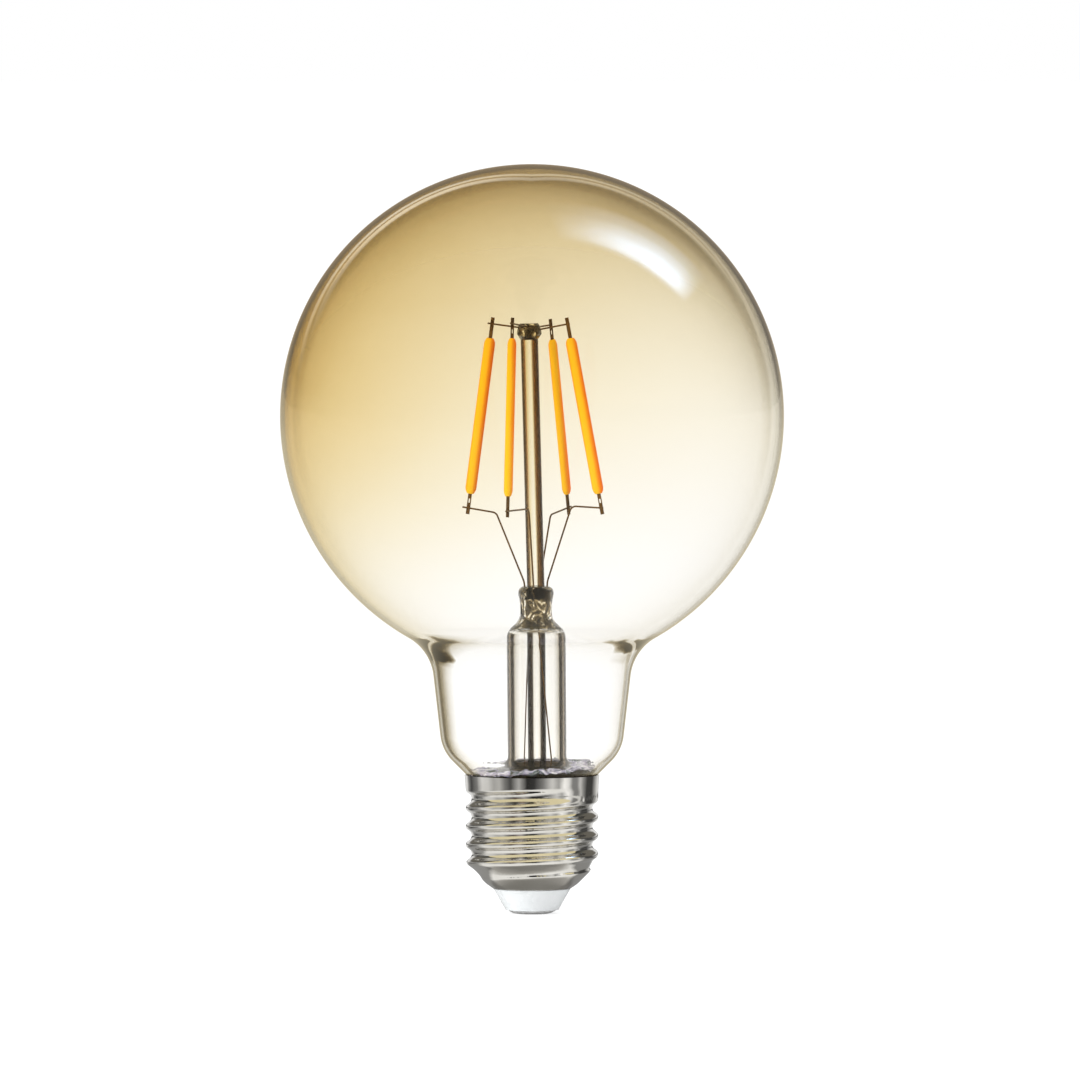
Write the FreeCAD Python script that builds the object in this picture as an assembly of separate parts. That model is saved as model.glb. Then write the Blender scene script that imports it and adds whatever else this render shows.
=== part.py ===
import FreeCAD, Part
import math
import os

from FreeCAD import Matrix, Placement, Rotation, Vector

# A clear globe bulb with four light-emitting sticks on a glass stem and a screw cap.
# Millimetres and degrees. Z is the bulb's axis, and zero is the face of its centre contact.

# Cap, from the contact upwards
CONTACT_HEAD = 0.75
CONTACT_DIAMETER = 9.2
CONTACT_FLAT_DIAMETER = 5.6
CONTACT_EDGE = 0.2
CONTACT_PIN_DIAMETER = 2.6
CONTACT_PIN_LENGTH = 4.4
INSULATOR_HEIGHT = 4.2
INSULATOR_FOOT_DIAMETER = 10.4
INSULATOR_PLUG_RISE = 1.4
SHELL_HEIGHT = 22.4
SHELL_SHEET = 0.28
SHELL_LIP_DIAMETER = 15.2
SHELL_TAPER_ANGLE = 45.0
SHELL_TAPER_SOFTNESS = 0.35
SHELL_LIP_CURL = 0.5
SHELL_LIP_CURL_RISE = 1.3
RIM_BAND = 4.0
RIM_FLARE = 0.22

# Rolled thread of the shell
THREAD_DIAMETER = 26.1
THREAD_DEPTH = 1.15
THREAD_PITCH = 3.629
THREAD_CREST_RADIUS = 0.8
THREAD_TURNS = 3.9
THREAD_FADE_TURNS = 0.22
THREAD_RUN_IN_TURNS = 0.8
ROWS_PER_PITCH = 10
COLUMNS_PER_TURN = 36
SLOPE_STEP = 0.02
LEVEL_TOLERANCE = 0.001

# Glass envelope
GLOBE_DIAMETER = 99.0
GLOBE_RISE = 70.5
BELLY_RADIUS = 50.2
GLASS_WALL = 0.8
NECK_DIAMETER = 37.2
NECK_RISE = 12.65
NECK_TAPER_ANGLE = 6.5
NECK_FILLET = 9.9
SHOULDER_RADIUS = 8.4
CONE_ANGLE = 45.0
THROAT_DIAMETER = 22.0
THROAT_FILLET = 1.5
THROAT_DEPTH = 6.0

# Glass stem inside the neck
FLARE_DIAMETER = 11.6
FLARE_WALL = 1.1
FLARE_RISE = 26.85
TRUMPET_RISE = 3.3
TRUMPET_RADIUS = 1.5
TRUMPET_ANGLE = 80.0
PRESS_HEIGHT = 10.2
PRESS_WIDTH = 6.9
PRESS_DEPTH = 8.4
PRESS_WAIST = 0.8
PRESS_CROWN = 2.3
PRESS_ANGLE = 12.0
CAVITY_RISE = 1.7
CAVITY_CORNER = 1.2
STEM_OFFSET = 0.75
STEM_LEAN_ANGLE = 0.45
EXHAUST_DIAMETER = 3.6
EXHAUST_WALL = 0.75
EXHAUST_TAIL = 8.4
VENT_DIAMETER = 1.2
VENT_ANGLE = 38.0
VENT_AZIMUTH = 200.0

# Glass column that carries the sticks
COLUMN_DIAMETER = 3.45
COLUMN_BORE = 1.9
COLUMN_EMBED = 2.4
COLUMN_LEAN_ANGLE = 1.5
BUTTON_DIAMETER = 4.9
BUTTON_TOP_DIAMETER = 4.2
BUTTON_HEIGHT = 3.2
BUTTON_SHOULDER = 1.1
BUTTON_EDGE = 0.35
BUTTON_PROUD = 0.1
BUTTON_WALL = 2.4

# Light-emitting sticks, with the small differences of hand welding in stick order
STICK_AZIMUTHS = (60.0, 158.0, 248.0, 340.0)
STICK_RISES = (-0.25, 0.65, 0.6, 0.35)
COAT_TWISTS = (18.0, 0.0, 18.0, 0.0)
TAB_TWISTS = (-20.0, 0.0, -28.0, 0.0)
LOWER_WELD_RADII = (13.6, 13.9, 13.6, 14.1)
UPPER_WELD_RADII = (8.6, 7.8, 8.6, 8.1)
COAT_LENGTH = 31.0
COAT_WIDTH = 2.25
COAT_DEPTH = 1.75
COAT_TIP_DIAMETER = 1.3
COAT_TIP_LENGTH = 1.3
TAB_LENGTH = 4.1
TAB_WIDTH = 0.72
TAB_THICKNESS = 0.18
TAB_EMBED = 1.2
TAB_SLOT_LENGTH = 0.85
TAB_SLOT_WIDTH = 0.34
TAB_SLOT_OFFSET = 1.0
WELD_OFFSET = 2.85
LOWER_WELD_RISE = 14.9

# Wires, with the small differences of hand bending in stick order
WIRE_DIAMETER = 0.34
WIRE_EMBED = 3.4
LEAD_ROOT_RADIUS = 2.3
LEAD_BEND_RADII = (7.2, 7.9, 3.6, 7.8)
LEAD_ROOT_CURVE = 3.0
LEAD_CORNER_CURVE = 1.3
LEAD_STRAIGHT = 0.8
LEAD_TILTS = (8.5, 9.5, 0.5, -4.0)
LEAD_OVERSHOOTS = (1.8, 1.1, 2.0, 0.3)
ANCHOR_TILTS = (2.0, 8.0, 6.5, 9.5)
ANCHOR_OVERSHOOTS = (0.5, 0.8, 2.0, 0.3)
ANCHOR_ROOT_RADIUS = 1.0
WELD_GAP = 0.01

# Driver hidden in the cap
BOARD_DIAMETER = 18.4
BOARD_THICKNESS = 1.0
BOARD_RISE = 9.05
CAPACITOR_DIAMETER = 6.3
CAPACITOR_LENGTH = 7.6
CAPACITOR_EDGE = 0.35
CAPACITOR_GROOVE_RISE = 1.4
CAPACITOR_GROOVE_RADIUS = 0.35
CAPACITOR_GROOVE_DEPTH = 0.28
CAPACITOR_CENTRE = 5.7
CHIP_LENGTH = 4.9
CHIP_WIDTH = 3.9
CHIP_HEIGHT = 1.5
CHIP_LEGS = 4
CHIP_OFFSET = 4.2
BRIDGE_LENGTH = 4.7
BRIDGE_WIDTH = 4.0
BRIDGE_HEIGHT = 2.3
BRIDGE_LEGS = 2
LEG_WIDTH = 0.4
LEG_REACH = 0.9
LEG_THICKNESS = 0.2
FUSE_DIAMETER = 2.5
FUSE_LENGTH = 4.6
FUSE_EDGE = 0.5
FUSE_LEAD_DIAMETER = 0.6
FUSE_LEAD_PROUD = 0.5
FEED_DIAMETER = 0.26
FEED_TOP_RADIUS = 3.3
FEED_TOP_ANGLES = (-85.0, 117.0)
FEED_FOOT_RADIUS = 3.9
FEED_FOOT_ANGLES = (-48.0, 133.0)
FEED_CURVE = 8.0
FEED_EMBED = 2.0
FEED_PROUD = 0.6
SHELL_WIRE_DIAMETER = 0.5
SHELL_WIRE_RADIUS = 8.3
SHELL_WIRE_CURVE = 1.2
SHELL_WIRE_BELOW_GLASS = 1.1
CLEARANCE = 0.05
CEMENT_BELOW_RIM = 0.25

# Heights that follow from the sizes above
LIP_HEIGHT = CONTACT_HEAD + INSULATOR_HEIGHT
SHELL_TAPER_SLOPE = math.tan(math.radians(SHELL_TAPER_ANGLE))
SHELL_TAPER_REACH = (THREAD_DIAMETER - SHELL_LIP_DIAMETER) / 2 - SHELL_LIP_CURL
TAPER_TOP = LIP_HEIGHT + SHELL_TAPER_REACH / SHELL_TAPER_SLOPE
RIM_HEIGHT = LIP_HEIGHT + SHELL_HEIGHT
GLASS_FOOT = RIM_HEIGHT - THROAT_DEPTH
FLARE_TOP = RIM_HEIGHT + FLARE_RISE
PRESS_TOP = FLARE_TOP + PRESS_HEIGHT
CAVITY_TOP = FLARE_TOP + CAVITY_RISE
LOWER_WELD = PRESS_TOP + LOWER_WELD_RISE
WELD_SPAN = COAT_LENGTH + 2 * WELD_OFFSET
BUTTON_TOP = LOWER_WELD + WELD_SPAN + BUTTON_PROUD
EXHAUST_END = RIM_HEIGHT - EXHAUST_TAIL
BOARD_BOTTOM = LIP_HEIGHT + BOARD_RISE
BOARD_TOP = BOARD_BOTTOM + BOARD_THICKNESS
PLUG_TOP = LIP_HEIGHT + INSULATOR_PLUG_RISE

AXIS = Vector(0, 0, 1)
ORIGIN = Vector(0, 0, 0)


def flat(radius, height):
    """A point of a profile, in the plane of the bulb's axis."""
    return Vector(radius, 0, height)


def turned(angle):
    """A unit vector in the profile plane, turned by an angle from the outward direction."""
    return flat(math.cos(math.radians(angle)), math.sin(math.radians(angle)))


def around(radius, angle, height):
    """A point about the bulb's axis."""
    return Vector(math.cos(math.radians(angle)) * radius, math.sin(math.radians(angle)) * radius, height)


def unit(vector):
    return vector / vector.Length


def line(start, end):
    return Part.LineSegment(start, end).toShape()


def arc(centre, start, end):
    """The shorter arc about a centre between two points at the same distance from it."""
    middle = unit(unit(start - centre) + unit(end - centre)) * (start - centre).Length
    return Part.Arc(start, centre + middle, end).toShape()


def outline(points):
    """Straight edges that join the points and close on the first."""
    return [line(start, end) for start, end in zip(points, points[1:] + points[:1])]


def revolve(edges):
    """The solid swept by a closed profile about the bulb's axis."""
    wire = Part.Wire(Part.__sortEdges__(edges))
    return Part.Face(wire).revolve(ORIGIN, AXIS, 360)


def cylinder(radius, bottom, top):
    return Part.makeCylinder(radius, top - bottom, Vector(0, 0, bottom), AXIS)


def leaned(shape, angle):
    """Sets a stem piece at its offset, leaned about the top of the press."""
    pivot = Vector(0, 0, PRESS_TOP)
    lean = Placement(Vector(STEM_OFFSET, 0, 0), Rotation(Vector(0, 1, 0), -angle), pivot)
    return shape.transformed(lean.toMatrix(), copy=True)


def rounded_path(points, radii):
    """A wire of straight runs with a tangent arc of the given radius at each inner point."""
    edges = []
    start = points[0]
    for before, corner, after, radius in zip(points, points[1:], points[2:], radii):
        back = unit(before - corner)
        ahead = unit(after - corner)
        half_angle = back.getAngle(ahead) / 2
        reach = radius / math.tan(half_angle)
        centre = corner + unit(back + ahead) * (radius / math.sin(half_angle))
        edges.append(line(start, corner + back * reach))
        edges.append(arc(centre, corner + back * reach, corner + ahead * reach))
        start = corner + ahead * reach
    edges.append(line(start, points[-1]))
    return Part.Wire(edges)


def round_wire(points, radii, diameter):
    """A round wire bent along a path."""
    path = rounded_path(points, radii)
    section = Part.Wire(Part.Circle(points[0], points[1] - points[0], diameter / 2).toShape())
    return path.makePipeShell([section], True, True)


def glass_stations():
    """Points of the outer glass profile, each with its normal and the centre of the arc that follows."""
    globe_centre = flat(0, RIM_HEIGHT + GLOBE_RISE)
    equator = globe_centre + flat(GLOBE_DIAMETER / 2, 0)
    belly_centre = equator - flat(BELLY_RADIUS, 0)
    neck_normal = turned(-NECK_TAPER_ANGLE)
    neck_up = turned(90 - NECK_TAPER_ANGLE)
    neck_point = flat(NECK_DIAMETER / 2, RIM_HEIGHT + NECK_RISE)
    cone_normal = turned(-CONE_ANGLE)
    cone_up = turned(90 - CONE_ANGLE)
    cone_rim = flat(shell_inner_radius(0, RIM_HEIGHT) - CLEARANCE, RIM_HEIGHT)

    # The fillet is tangent to the belly's arc and to the neck's straight side.
    fillet_base = neck_point + neck_normal * NECK_FILLET
    along = (fillet_base - belly_centre).dot(neck_up)
    beyond = (fillet_base - belly_centre).dot(fillet_base - belly_centre) - (BELLY_RADIUS + NECK_FILLET) ** 2
    fillet_centre = fillet_base - neck_up * (along + math.sqrt(along * along - beyond))
    belly_normal = unit(fillet_centre - belly_centre)

    # The shoulder rounds the corner where the neck's side meets the cone.
    cone_reach = (cone_rim - neck_point).dot(neck_normal) / -cone_up.dot(neck_normal)
    shoulder_corner = cone_rim + cone_up * cone_reach
    shoulder_reach = SHOULDER_RADIUS * math.tan(math.radians((CONE_ANGLE - NECK_TAPER_ANGLE) / 2))
    shoulder_start = shoulder_corner + neck_up * shoulder_reach

    # The throat's fillet turns the cone back to straight, inside the cap.
    throat_drop = (cone_rim.x - THROAT_DIAMETER / 2) / math.tan(math.radians(CONE_ANGLE))
    throat_corner = flat(THROAT_DIAMETER / 2, RIM_HEIGHT - throat_drop)
    throat_reach = THROAT_FILLET * math.tan(math.radians(CONE_ANGLE / 2))
    throat_start = throat_corner - AXIS * throat_reach

    return [
        (globe_centre + AXIS * (GLOBE_DIAMETER / 2), AXIS, globe_centre),
        (equator, turned(0), belly_centre),
        (belly_centre + belly_normal * BELLY_RADIUS, belly_normal, fillet_centre),
        (fillet_centre - neck_normal * NECK_FILLET, neck_normal, None),
        (shoulder_start, neck_normal, shoulder_start - neck_normal * SHOULDER_RADIUS),
        (shoulder_corner - cone_up * shoulder_reach, cone_normal, None),
        (throat_corner + cone_up * throat_reach, cone_normal, throat_start + flat(THROAT_FILLET, 0)),
        (throat_start, turned(0), None),
        (flat(THROAT_DIAMETER / 2, GLASS_FOOT), turned(0), None),
    ]


def glass_profile(inset):
    """Edges of the glass profile, set in from its outer face, with their first and last points."""
    stations = glass_stations()
    points = [point - normal * inset for point, normal, centre in stations]
    edges = []
    for start, end, (point, normal, centre) in zip(points, points[1:], stations):
        edges.append(arc(centre, start, end) if centre else line(start, end))
    return edges, points[0], points[-1]


def glass_globe():
    """The blown envelope: globe, neck, shoulder and the throat that sits in the cap."""
    outer, outer_pole, outer_end = glass_profile(0)
    inner, inner_pole, inner_end = glass_profile(GLASS_WALL)
    return revolve(outer + inner + [line(outer_pole, inner_pole), line(outer_end, inner_end)])


def glass_inside():
    """The space inside the envelope, as a solid."""
    inner, pole, end = glass_profile(GLASS_WALL)
    foot = flat(0, end.z)
    return revolve(inner + [line(end, foot), line(foot, pole)])


def mixed(first, second, share):
    """Sizes part of the way from one width and depth to another."""
    return tuple(start + (end - start) * share for start, end in zip(first, second))


def oval(height, width, depth):
    """An oval section of the pinched glass, its depth turned to the press's own direction."""
    curve = Part.Ellipse(Vector(0, 0, height), depth / 2, width / 2)
    if math.isclose(width, depth):
        curve = Part.Circle(Vector(0, 0, height), AXIS, width / 2)
    wire = Part.Wire(curve.toShape())
    wire.rotate(ORIGIN, AXIS, 90 + PRESS_ANGLE)
    return wire


def stem_press():
    """The pinched top of the stem, lofted from the round tube over a waist and a head to its crown."""
    tube = (FLARE_DIAMETER, FLARE_DIAMETER)
    head = (PRESS_WIDTH, PRESS_DEPTH)
    waist = (PRESS_WIDTH - PRESS_WAIST, PRESS_DEPTH)
    crown = (PRESS_WIDTH - PRESS_CROWN, PRESS_DEPTH - PRESS_CROWN)
    sections = (
        (0.0, tube),
        (0.1, mixed(tube, waist, 0.07)),
        (0.2, mixed(tube, waist, 0.32)),
        (0.3, mixed(tube, waist, 0.72)),
        (0.4, mixed(tube, waist, 0.94)),
        (0.55, waist),
        (0.75, mixed(waist, head, 0.5)),
        (0.88, head),
        (0.97, mixed(head, crown, 0.35)),
        (1.0, crown),
    )
    ovals = [oval(FLARE_TOP + PRESS_HEIGHT * share, *size) for share, size in sections]
    return Part.makeLoft(ovals, True, False)


def trumpet_point(distance, turn):
    """A point of the trumpet at the foot of the flare, by its distance from the trumpet's centre."""
    centre = flat(FLARE_DIAMETER / 2 + TRUMPET_RADIUS, RIM_HEIGHT + TRUMPET_RISE)
    return centre + turned(180 + turn) * distance


def trumpet_edges(distance, top):
    """Profile of one face of the flare, from its top down the tube and out along the flange."""
    centre = trumpet_point(0, 0)
    tube_end = trumpet_point(distance, 0)
    bend_end = trumpet_point(distance, TRUMPET_ANGLE)
    rim = bend_end + turned(TRUMPET_ANGLE - 90) * (NECK_DIAMETER / 2)
    start = flat(tube_end.x, top)
    return [line(start, tube_end), arc(centre, tube_end, bend_end), line(bend_end, rim)], start, rim


def flare_tube():
    """The stem's tube and its trumpet, as a solid with no inside."""
    edges, start, rim = trumpet_edges(TRUMPET_RADIUS, FLARE_TOP)
    foot = flat(0, rim.z)
    head = flat(0, FLARE_TOP)
    return revolve(edges + [line(rim, foot), line(foot, head), line(head, start)])


def flare_cavity():
    """The space under the press, down the tube and below the flange."""
    edges, start, rim = trumpet_edges(TRUMPET_RADIUS + FLARE_WALL, CAVITY_TOP - CAVITY_CORNER)
    corner_centre = start - flat(CAVITY_CORNER, 0)
    crown = corner_centre + AXIS * CAVITY_CORNER
    head = flat(0, CAVITY_TOP)
    floor = flat(rim.x, RIM_HEIGHT - GLOBE_DIAMETER)
    foot = flat(0, floor.z)
    top = [arc(corner_centre, start, crown), line(crown, head)]
    return revolve(edges + top + [line(rim, floor), line(floor, foot), line(foot, head)])


def vent():
    """The bore that joins the exhaust tube to the inside of the globe."""
    slant = Vector(math.sin(math.radians(VENT_ANGLE)), 0, math.cos(math.radians(VENT_ANGLE)))
    start = Vector(0, 0, CAVITY_TOP) - slant * (VENT_DIAMETER / 2)
    bore = Part.makeCylinder(VENT_DIAMETER / 2, FLARE_DIAMETER, start, slant)
    bore.rotate(ORIGIN, AXIS, VENT_AZIMUTH)
    return leaned(bore, STEM_LEAN_ANGLE)


def stem_flare(embedded):
    """The flared tube with its press, fused into the neck, around what is sealed into it."""
    body = flare_tube().fuse(stem_press()).cut(flare_cavity())
    body = leaned(body, STEM_LEAN_ANGLE).common(glass_inside())
    for piece in embedded:
        body = body.cut(piece)
    return body.cut(vent())


def exhaust_tube():
    """The thin tube inside the flare, open under the press and sealed at its tip."""
    outer = EXHAUST_DIAMETER / 2
    inner = outer - EXHAUST_WALL
    tip_centre = flat(0, EXHAUST_END + outer)
    profile = [
        line(flat(inner, CAVITY_TOP), flat(outer, CAVITY_TOP)),
        line(flat(outer, CAVITY_TOP), tip_centre + flat(outer, 0)),
        arc(tip_centre, tip_centre + flat(outer, 0), flat(0, EXHAUST_END)),
        line(flat(0, EXHAUST_END), tip_centre - AXIS * inner),
        arc(tip_centre, tip_centre - AXIS * inner, tip_centre + flat(inner, 0)),
        line(tip_centre + flat(inner, 0), flat(inner, CAVITY_TOP)),
    ]
    return leaned(revolve(profile), STEM_LEAN_ANGLE)


def column_blank():
    """The column as a glass tube with a swollen button at its top, before the wires are sealed in."""
    outer = COLUMN_DIAMETER / 2
    inner = COLUMN_BORE / 2
    bottom = PRESS_TOP - COLUMN_EMBED
    button_foot = BUTTON_TOP - BUTTON_HEIGHT
    bore_top = BUTTON_TOP - BUTTON_WALL
    points = [
        flat(inner, bottom),
        flat(outer, bottom),
        flat(outer, button_foot),
        flat(BUTTON_DIAMETER / 2, button_foot + BUTTON_SHOULDER),
        flat(BUTTON_DIAMETER / 2, button_foot + BUTTON_SHOULDER + BUTTON_EDGE),
        flat(BUTTON_TOP_DIAMETER / 2, BUTTON_TOP - BUTTON_EDGE),
        flat(BUTTON_TOP_DIAMETER / 2 - BUTTON_EDGE, BUTTON_TOP),
        flat(0, BUTTON_TOP),
        flat(0, bore_top + inner),
        flat(inner, bore_top),
    ]
    return leaned(revolve(outline(points)), COLUMN_LEAN_ANGLE)


def support_column(embedded):
    """The column around the wires that are sealed into its button."""
    column = column_blank()
    for piece in embedded:
        column = column.cut(piece)
    return column


def on_column(shape, index):
    """Turns a piece from the profile plane to its stick's place and leans it with the column."""
    placed = shape.copy()
    placed.rotate(ORIGIN, AXIS, STICK_AZIMUTHS[index])
    return leaned(placed, COLUMN_LEAN_ANGLE)


def lower_weld(index):
    """Where a stick's lower tab meets its lead wire, in the profile plane."""
    return flat(LOWER_WELD_RADII[index], LOWER_WELD + STICK_RISES[index])


def stick_axis(index):
    """The way a stick leans, from its lower weld to its upper one, in the profile plane."""
    inward = (UPPER_WELD_RADII[index] - LOWER_WELD_RADII[index]) / WELD_SPAN
    return flat(inward, math.sqrt(1 - inward * inward))


def along_stick(shape, index):
    """Leans a piece of a stick from its own upright frame at the lower weld."""
    lean = Placement(lower_weld(index), Rotation(AXIS, stick_axis(index)))
    return on_column(shape.transformed(lean.toMatrix(), copy=True), index)


def weld_shift(index):
    """How far a wire lies beside the middle of the tab that it is welded to."""
    twist = math.radians(TAB_TWISTS[index])
    half_tab = TAB_WIDTH / 2 * abs(math.sin(twist)) + TAB_THICKNESS / 2 * math.cos(twist)
    return Vector(0, half_tab + WIRE_DIAMETER / 2 + WELD_GAP, 0)


def stick_coat_blank():
    """An oval stick with tapered round ends, along its own axis."""
    full = COAT_WIDTH / 2
    tip = COAT_TIP_DIAMETER / 2
    taper = full - tip
    tip_curve = (taper ** 2 + COAT_TIP_LENGTH ** 2) / (2 * taper)
    bottom = flat(0, WELD_OFFSET)
    top = bottom + AXIS * COAT_LENGTH
    lower_side = bottom + flat(full, COAT_TIP_LENGTH)
    upper_side = top + flat(full, -COAT_TIP_LENGTH)
    inward = flat(-tip_curve, 0)
    profile = [
        line(bottom, bottom + flat(tip, 0)),
        arc(lower_side + inward, bottom + flat(tip, 0), lower_side),
        line(lower_side, upper_side),
        arc(upper_side + inward, upper_side, top + flat(tip, 0)),
        line(top + flat(tip, 0), top),
        line(top, bottom),
    ]
    flatten = Matrix()
    flatten.scale(1, COAT_DEPTH / COAT_WIDTH, 1)
    return revolve(profile).transformGeometry(flatten)


def tab_blank(slotted):
    """A flat end tab that hangs from its coated end, slotted where it marks the polarity."""
    length = TAB_LENGTH + TAB_EMBED
    corner = Vector(-TAB_WIDTH / 2, -TAB_THICKNESS / 2, -TAB_LENGTH)
    tab = Part.makeBox(TAB_WIDTH, TAB_THICKNESS, length, corner)
    if not slotted:
        return tab
    slot_top = -TAB_SLOT_OFFSET - TAB_SLOT_WIDTH / 2
    slot_bottom = slot_top - TAB_SLOT_LENGTH + TAB_SLOT_WIDTH
    back = Vector(0, -TAB_THICKNESS, 0)
    across = Vector(0, 1, 0)
    for height in (slot_top, slot_bottom):
        hole = Part.makeCylinder(TAB_SLOT_WIDTH / 2, 2 * TAB_THICKNESS, back + AXIS * height, across)
        tab = tab.cut(hole)
    middle = Vector(-TAB_SLOT_WIDTH / 2, -TAB_THICKNESS, slot_bottom)
    return tab.cut(Part.makeBox(TAB_SLOT_WIDTH, 2 * TAB_THICKNESS, slot_top - slot_bottom, middle))


def stick_pieces(index):
    """The coat and both tabs of one stick, the coat hollowed where the tabs go in."""
    slot_below = index % 2 == 1
    lower = tab_blank(slot_below)
    lower.translate(AXIS * WELD_OFFSET)
    upper = tab_blank(not slot_below)
    upper.rotate(ORIGIN, Vector(1, 0, 0), 180)
    upper.translate(AXIS * (WELD_OFFSET + COAT_LENGTH))
    for tab in (lower, upper):
        tab.rotate(ORIGIN, AXIS, TAB_TWISTS[index])
    coat = stick_coat_blank()
    coat.rotate(ORIGIN, AXIS, COAT_TWISTS[index])
    coat = coat.cut(lower).cut(upper)
    return tuple(along_stick(piece, index) for piece in (coat, lower, upper))


def lead_wire(index):
    """A wire from the press up and out to the lower tab of its stick."""
    slope = math.tan(math.radians(LEAD_TILTS[index]))
    weld = lower_weld(index)
    bend = LEAD_BEND_RADII[index]
    points = [
        flat(LEAD_ROOT_RADIUS, PRESS_TOP - WIRE_EMBED),
        flat(LEAD_ROOT_RADIUS, PRESS_TOP + LEAD_STRAIGHT),
        weld - flat(1, slope) * (weld.x - bend),
        weld + flat(1, slope) * LEAD_OVERSHOOTS[index],
    ]
    wire = round_wire(points, (LEAD_ROOT_CURVE, LEAD_CORNER_CURVE), WIRE_DIAMETER)
    wire.translate(weld_shift(index))
    return on_column(wire, index)


def anchor_wire(index):
    """A short wire from the button out to the upper tab of its stick."""
    slope = math.tan(math.radians(ANCHOR_TILTS[index]))
    weld = lower_weld(index) + stick_axis(index) * WELD_SPAN
    root = weld - flat(1, slope) * (weld.x - ANCHOR_ROOT_RADIUS)
    tip = weld + flat(1, slope) * ANCHOR_OVERSHOOTS[index]
    wire = Part.makeCylinder(WIRE_DIAMETER / 2, (tip - root).Length, root, tip - root)
    wire.translate(weld_shift(index))
    return on_column(wire, index)


def plain_radius(height):
    """Outer radius of the cap's shell before its thread is rolled: lip, taper, wall and flared rim."""
    radius = THREAD_DIAMETER / 2
    below = TAPER_TOP - height
    softened = (below + math.sqrt(below * below + SHELL_TAPER_SOFTNESS ** 2)) / 2
    radius -= softened * SHELL_TAPER_SLOPE
    curl_share = max(0.0, 1 - (height - LIP_HEIGHT) / SHELL_LIP_CURL_RISE)
    radius -= SHELL_LIP_CURL * curl_share ** 2
    flare_share = max(0.0, 1 - (RIM_HEIGHT - height) / RIM_BAND)
    return radius + RIM_FLARE * flare_share ** 2


def groove_depth(offset):
    """Depth of the round thread's groove at a height from its middle, from its two tangent arcs."""
    half_pitch = THREAD_PITCH / 2
    arcs = (half_pitch ** 2 + THREAD_DEPTH ** 2) / (2 * THREAD_DEPTH)
    root_radius = arcs - THREAD_CREST_RADIUS
    away = min(abs(offset), half_pitch)
    if away < half_pitch * root_radius / arcs:
        return THREAD_DEPTH - root_radius + math.sqrt(root_radius ** 2 - away ** 2)
    return THREAD_CREST_RADIUS - math.sqrt(THREAD_CREST_RADIUS ** 2 - (half_pitch - away) ** 2)


def fade(share):
    """A smooth step from 0 to 1."""
    share = min(1.0, max(0.0, share))
    return share * share * (3 - 2 * share)


def shell_radius(angle, height):
    """Outer radius of the threaded shell: a right-hand groove that runs in over the taper and fades out."""
    share_of_turn = (angle % 360) / 360
    turn = round((height - TAPER_TOP) / THREAD_PITCH - share_of_turn) + share_of_turn
    presence = fade(1 + turn / THREAD_RUN_IN_TURNS) * fade((THREAD_TURNS - turn) / THREAD_FADE_TURNS)
    return plain_radius(height) - presence * groove_depth(height - TAPER_TOP - turn * THREAD_PITCH)


def shell_inner_radius(angle, height):
    """Inner radius of the shell, a sheet's thickness in from its outer face along the normal."""
    rise = shell_radius(angle, height + SLOPE_STEP) - shell_radius(angle, height - SLOPE_STEP)
    slope = rise / (2 * SLOPE_STEP)
    return shell_radius(angle, height) - SHELL_SHEET * math.sqrt(1 + slope * slope)


def shell_face(radius_at):
    """A closed face through the shell's radius at even heights and angles."""
    rows = math.ceil(SHELL_HEIGHT / THREAD_PITCH * ROWS_PER_PITCH)
    grid = []
    for row in range(rows + 1):
        height = LIP_HEIGHT + SHELL_HEIGHT * row / rows
        ring = []
        for column in range(COLUMNS_PER_TURN + 1):
            angle = 360 * (column % COLUMNS_PER_TURN) / COLUMNS_PER_TURN
            ring.append(around(radius_at(angle, height), angle, height))
        grid.append(ring)
    surface = Part.BSplineSurface()
    surface.interpolate(grid)
    return surface.toShape()


def edge_ring(face, height):
    """The boundary of a face at a height."""
    boxes = [(edge, edge.BoundBox) for edge in face.Edges]
    level = [edge for edge, box in boxes if max(box.ZMax - height, height - box.ZMin) < LEVEL_TOLERANCE]
    return Part.Wire(level)


def closed_solid(faces):
    """A solid from faces that share their edges."""
    shell = Part.Shell(faces)
    shell.sewShape()
    return Part.Solid(shell)


def screw_shell():
    """The cap's rolled sheet shell with its round thread, taper and flared rim."""
    outer = shell_face(shell_radius)
    inner = shell_face(shell_inner_radius)
    ends = [Part.Face([edge_ring(outer, end), edge_ring(inner, end)]) for end in (LIP_HEIGHT, RIM_HEIGHT)]
    return closed_solid([outer, inner] + ends)


def shell_inside():
    """The space inside the shell, a clearance in from its sheet, as a solid."""
    wall = shell_face(lambda angle, height: shell_inner_radius(angle, height) - CLEARANCE)
    ends = [Part.Face(edge_ring(wall, end)) for end in (LIP_HEIGHT, RIM_HEIGHT)]
    return closed_solid([wall] + ends)


def cap_insulator():
    """The moulded insulator: a cone below the shell, a plug inside it and a bore for the contact's pin."""
    bore = CONTACT_PIN_DIAMETER / 2 + CLEARANCE
    lip_inside = shell_inner_radius(0, LIP_HEIGHT) - CLEARANCE
    plug_inside = shell_inner_radius(0, PLUG_TOP) - CLEARANCE
    points = [
        flat(bore, CONTACT_HEAD),
        flat(INSULATOR_FOOT_DIAMETER / 2, CONTACT_HEAD),
        flat(SHELL_LIP_DIAMETER / 2, LIP_HEIGHT - CLEARANCE),
        flat(lip_inside, LIP_HEIGHT - CLEARANCE),
        flat(lip_inside, LIP_HEIGHT),
        flat(plug_inside, PLUG_TOP),
        flat(bore, PLUG_TOP),
    ]
    return revolve(outline(points))


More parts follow.
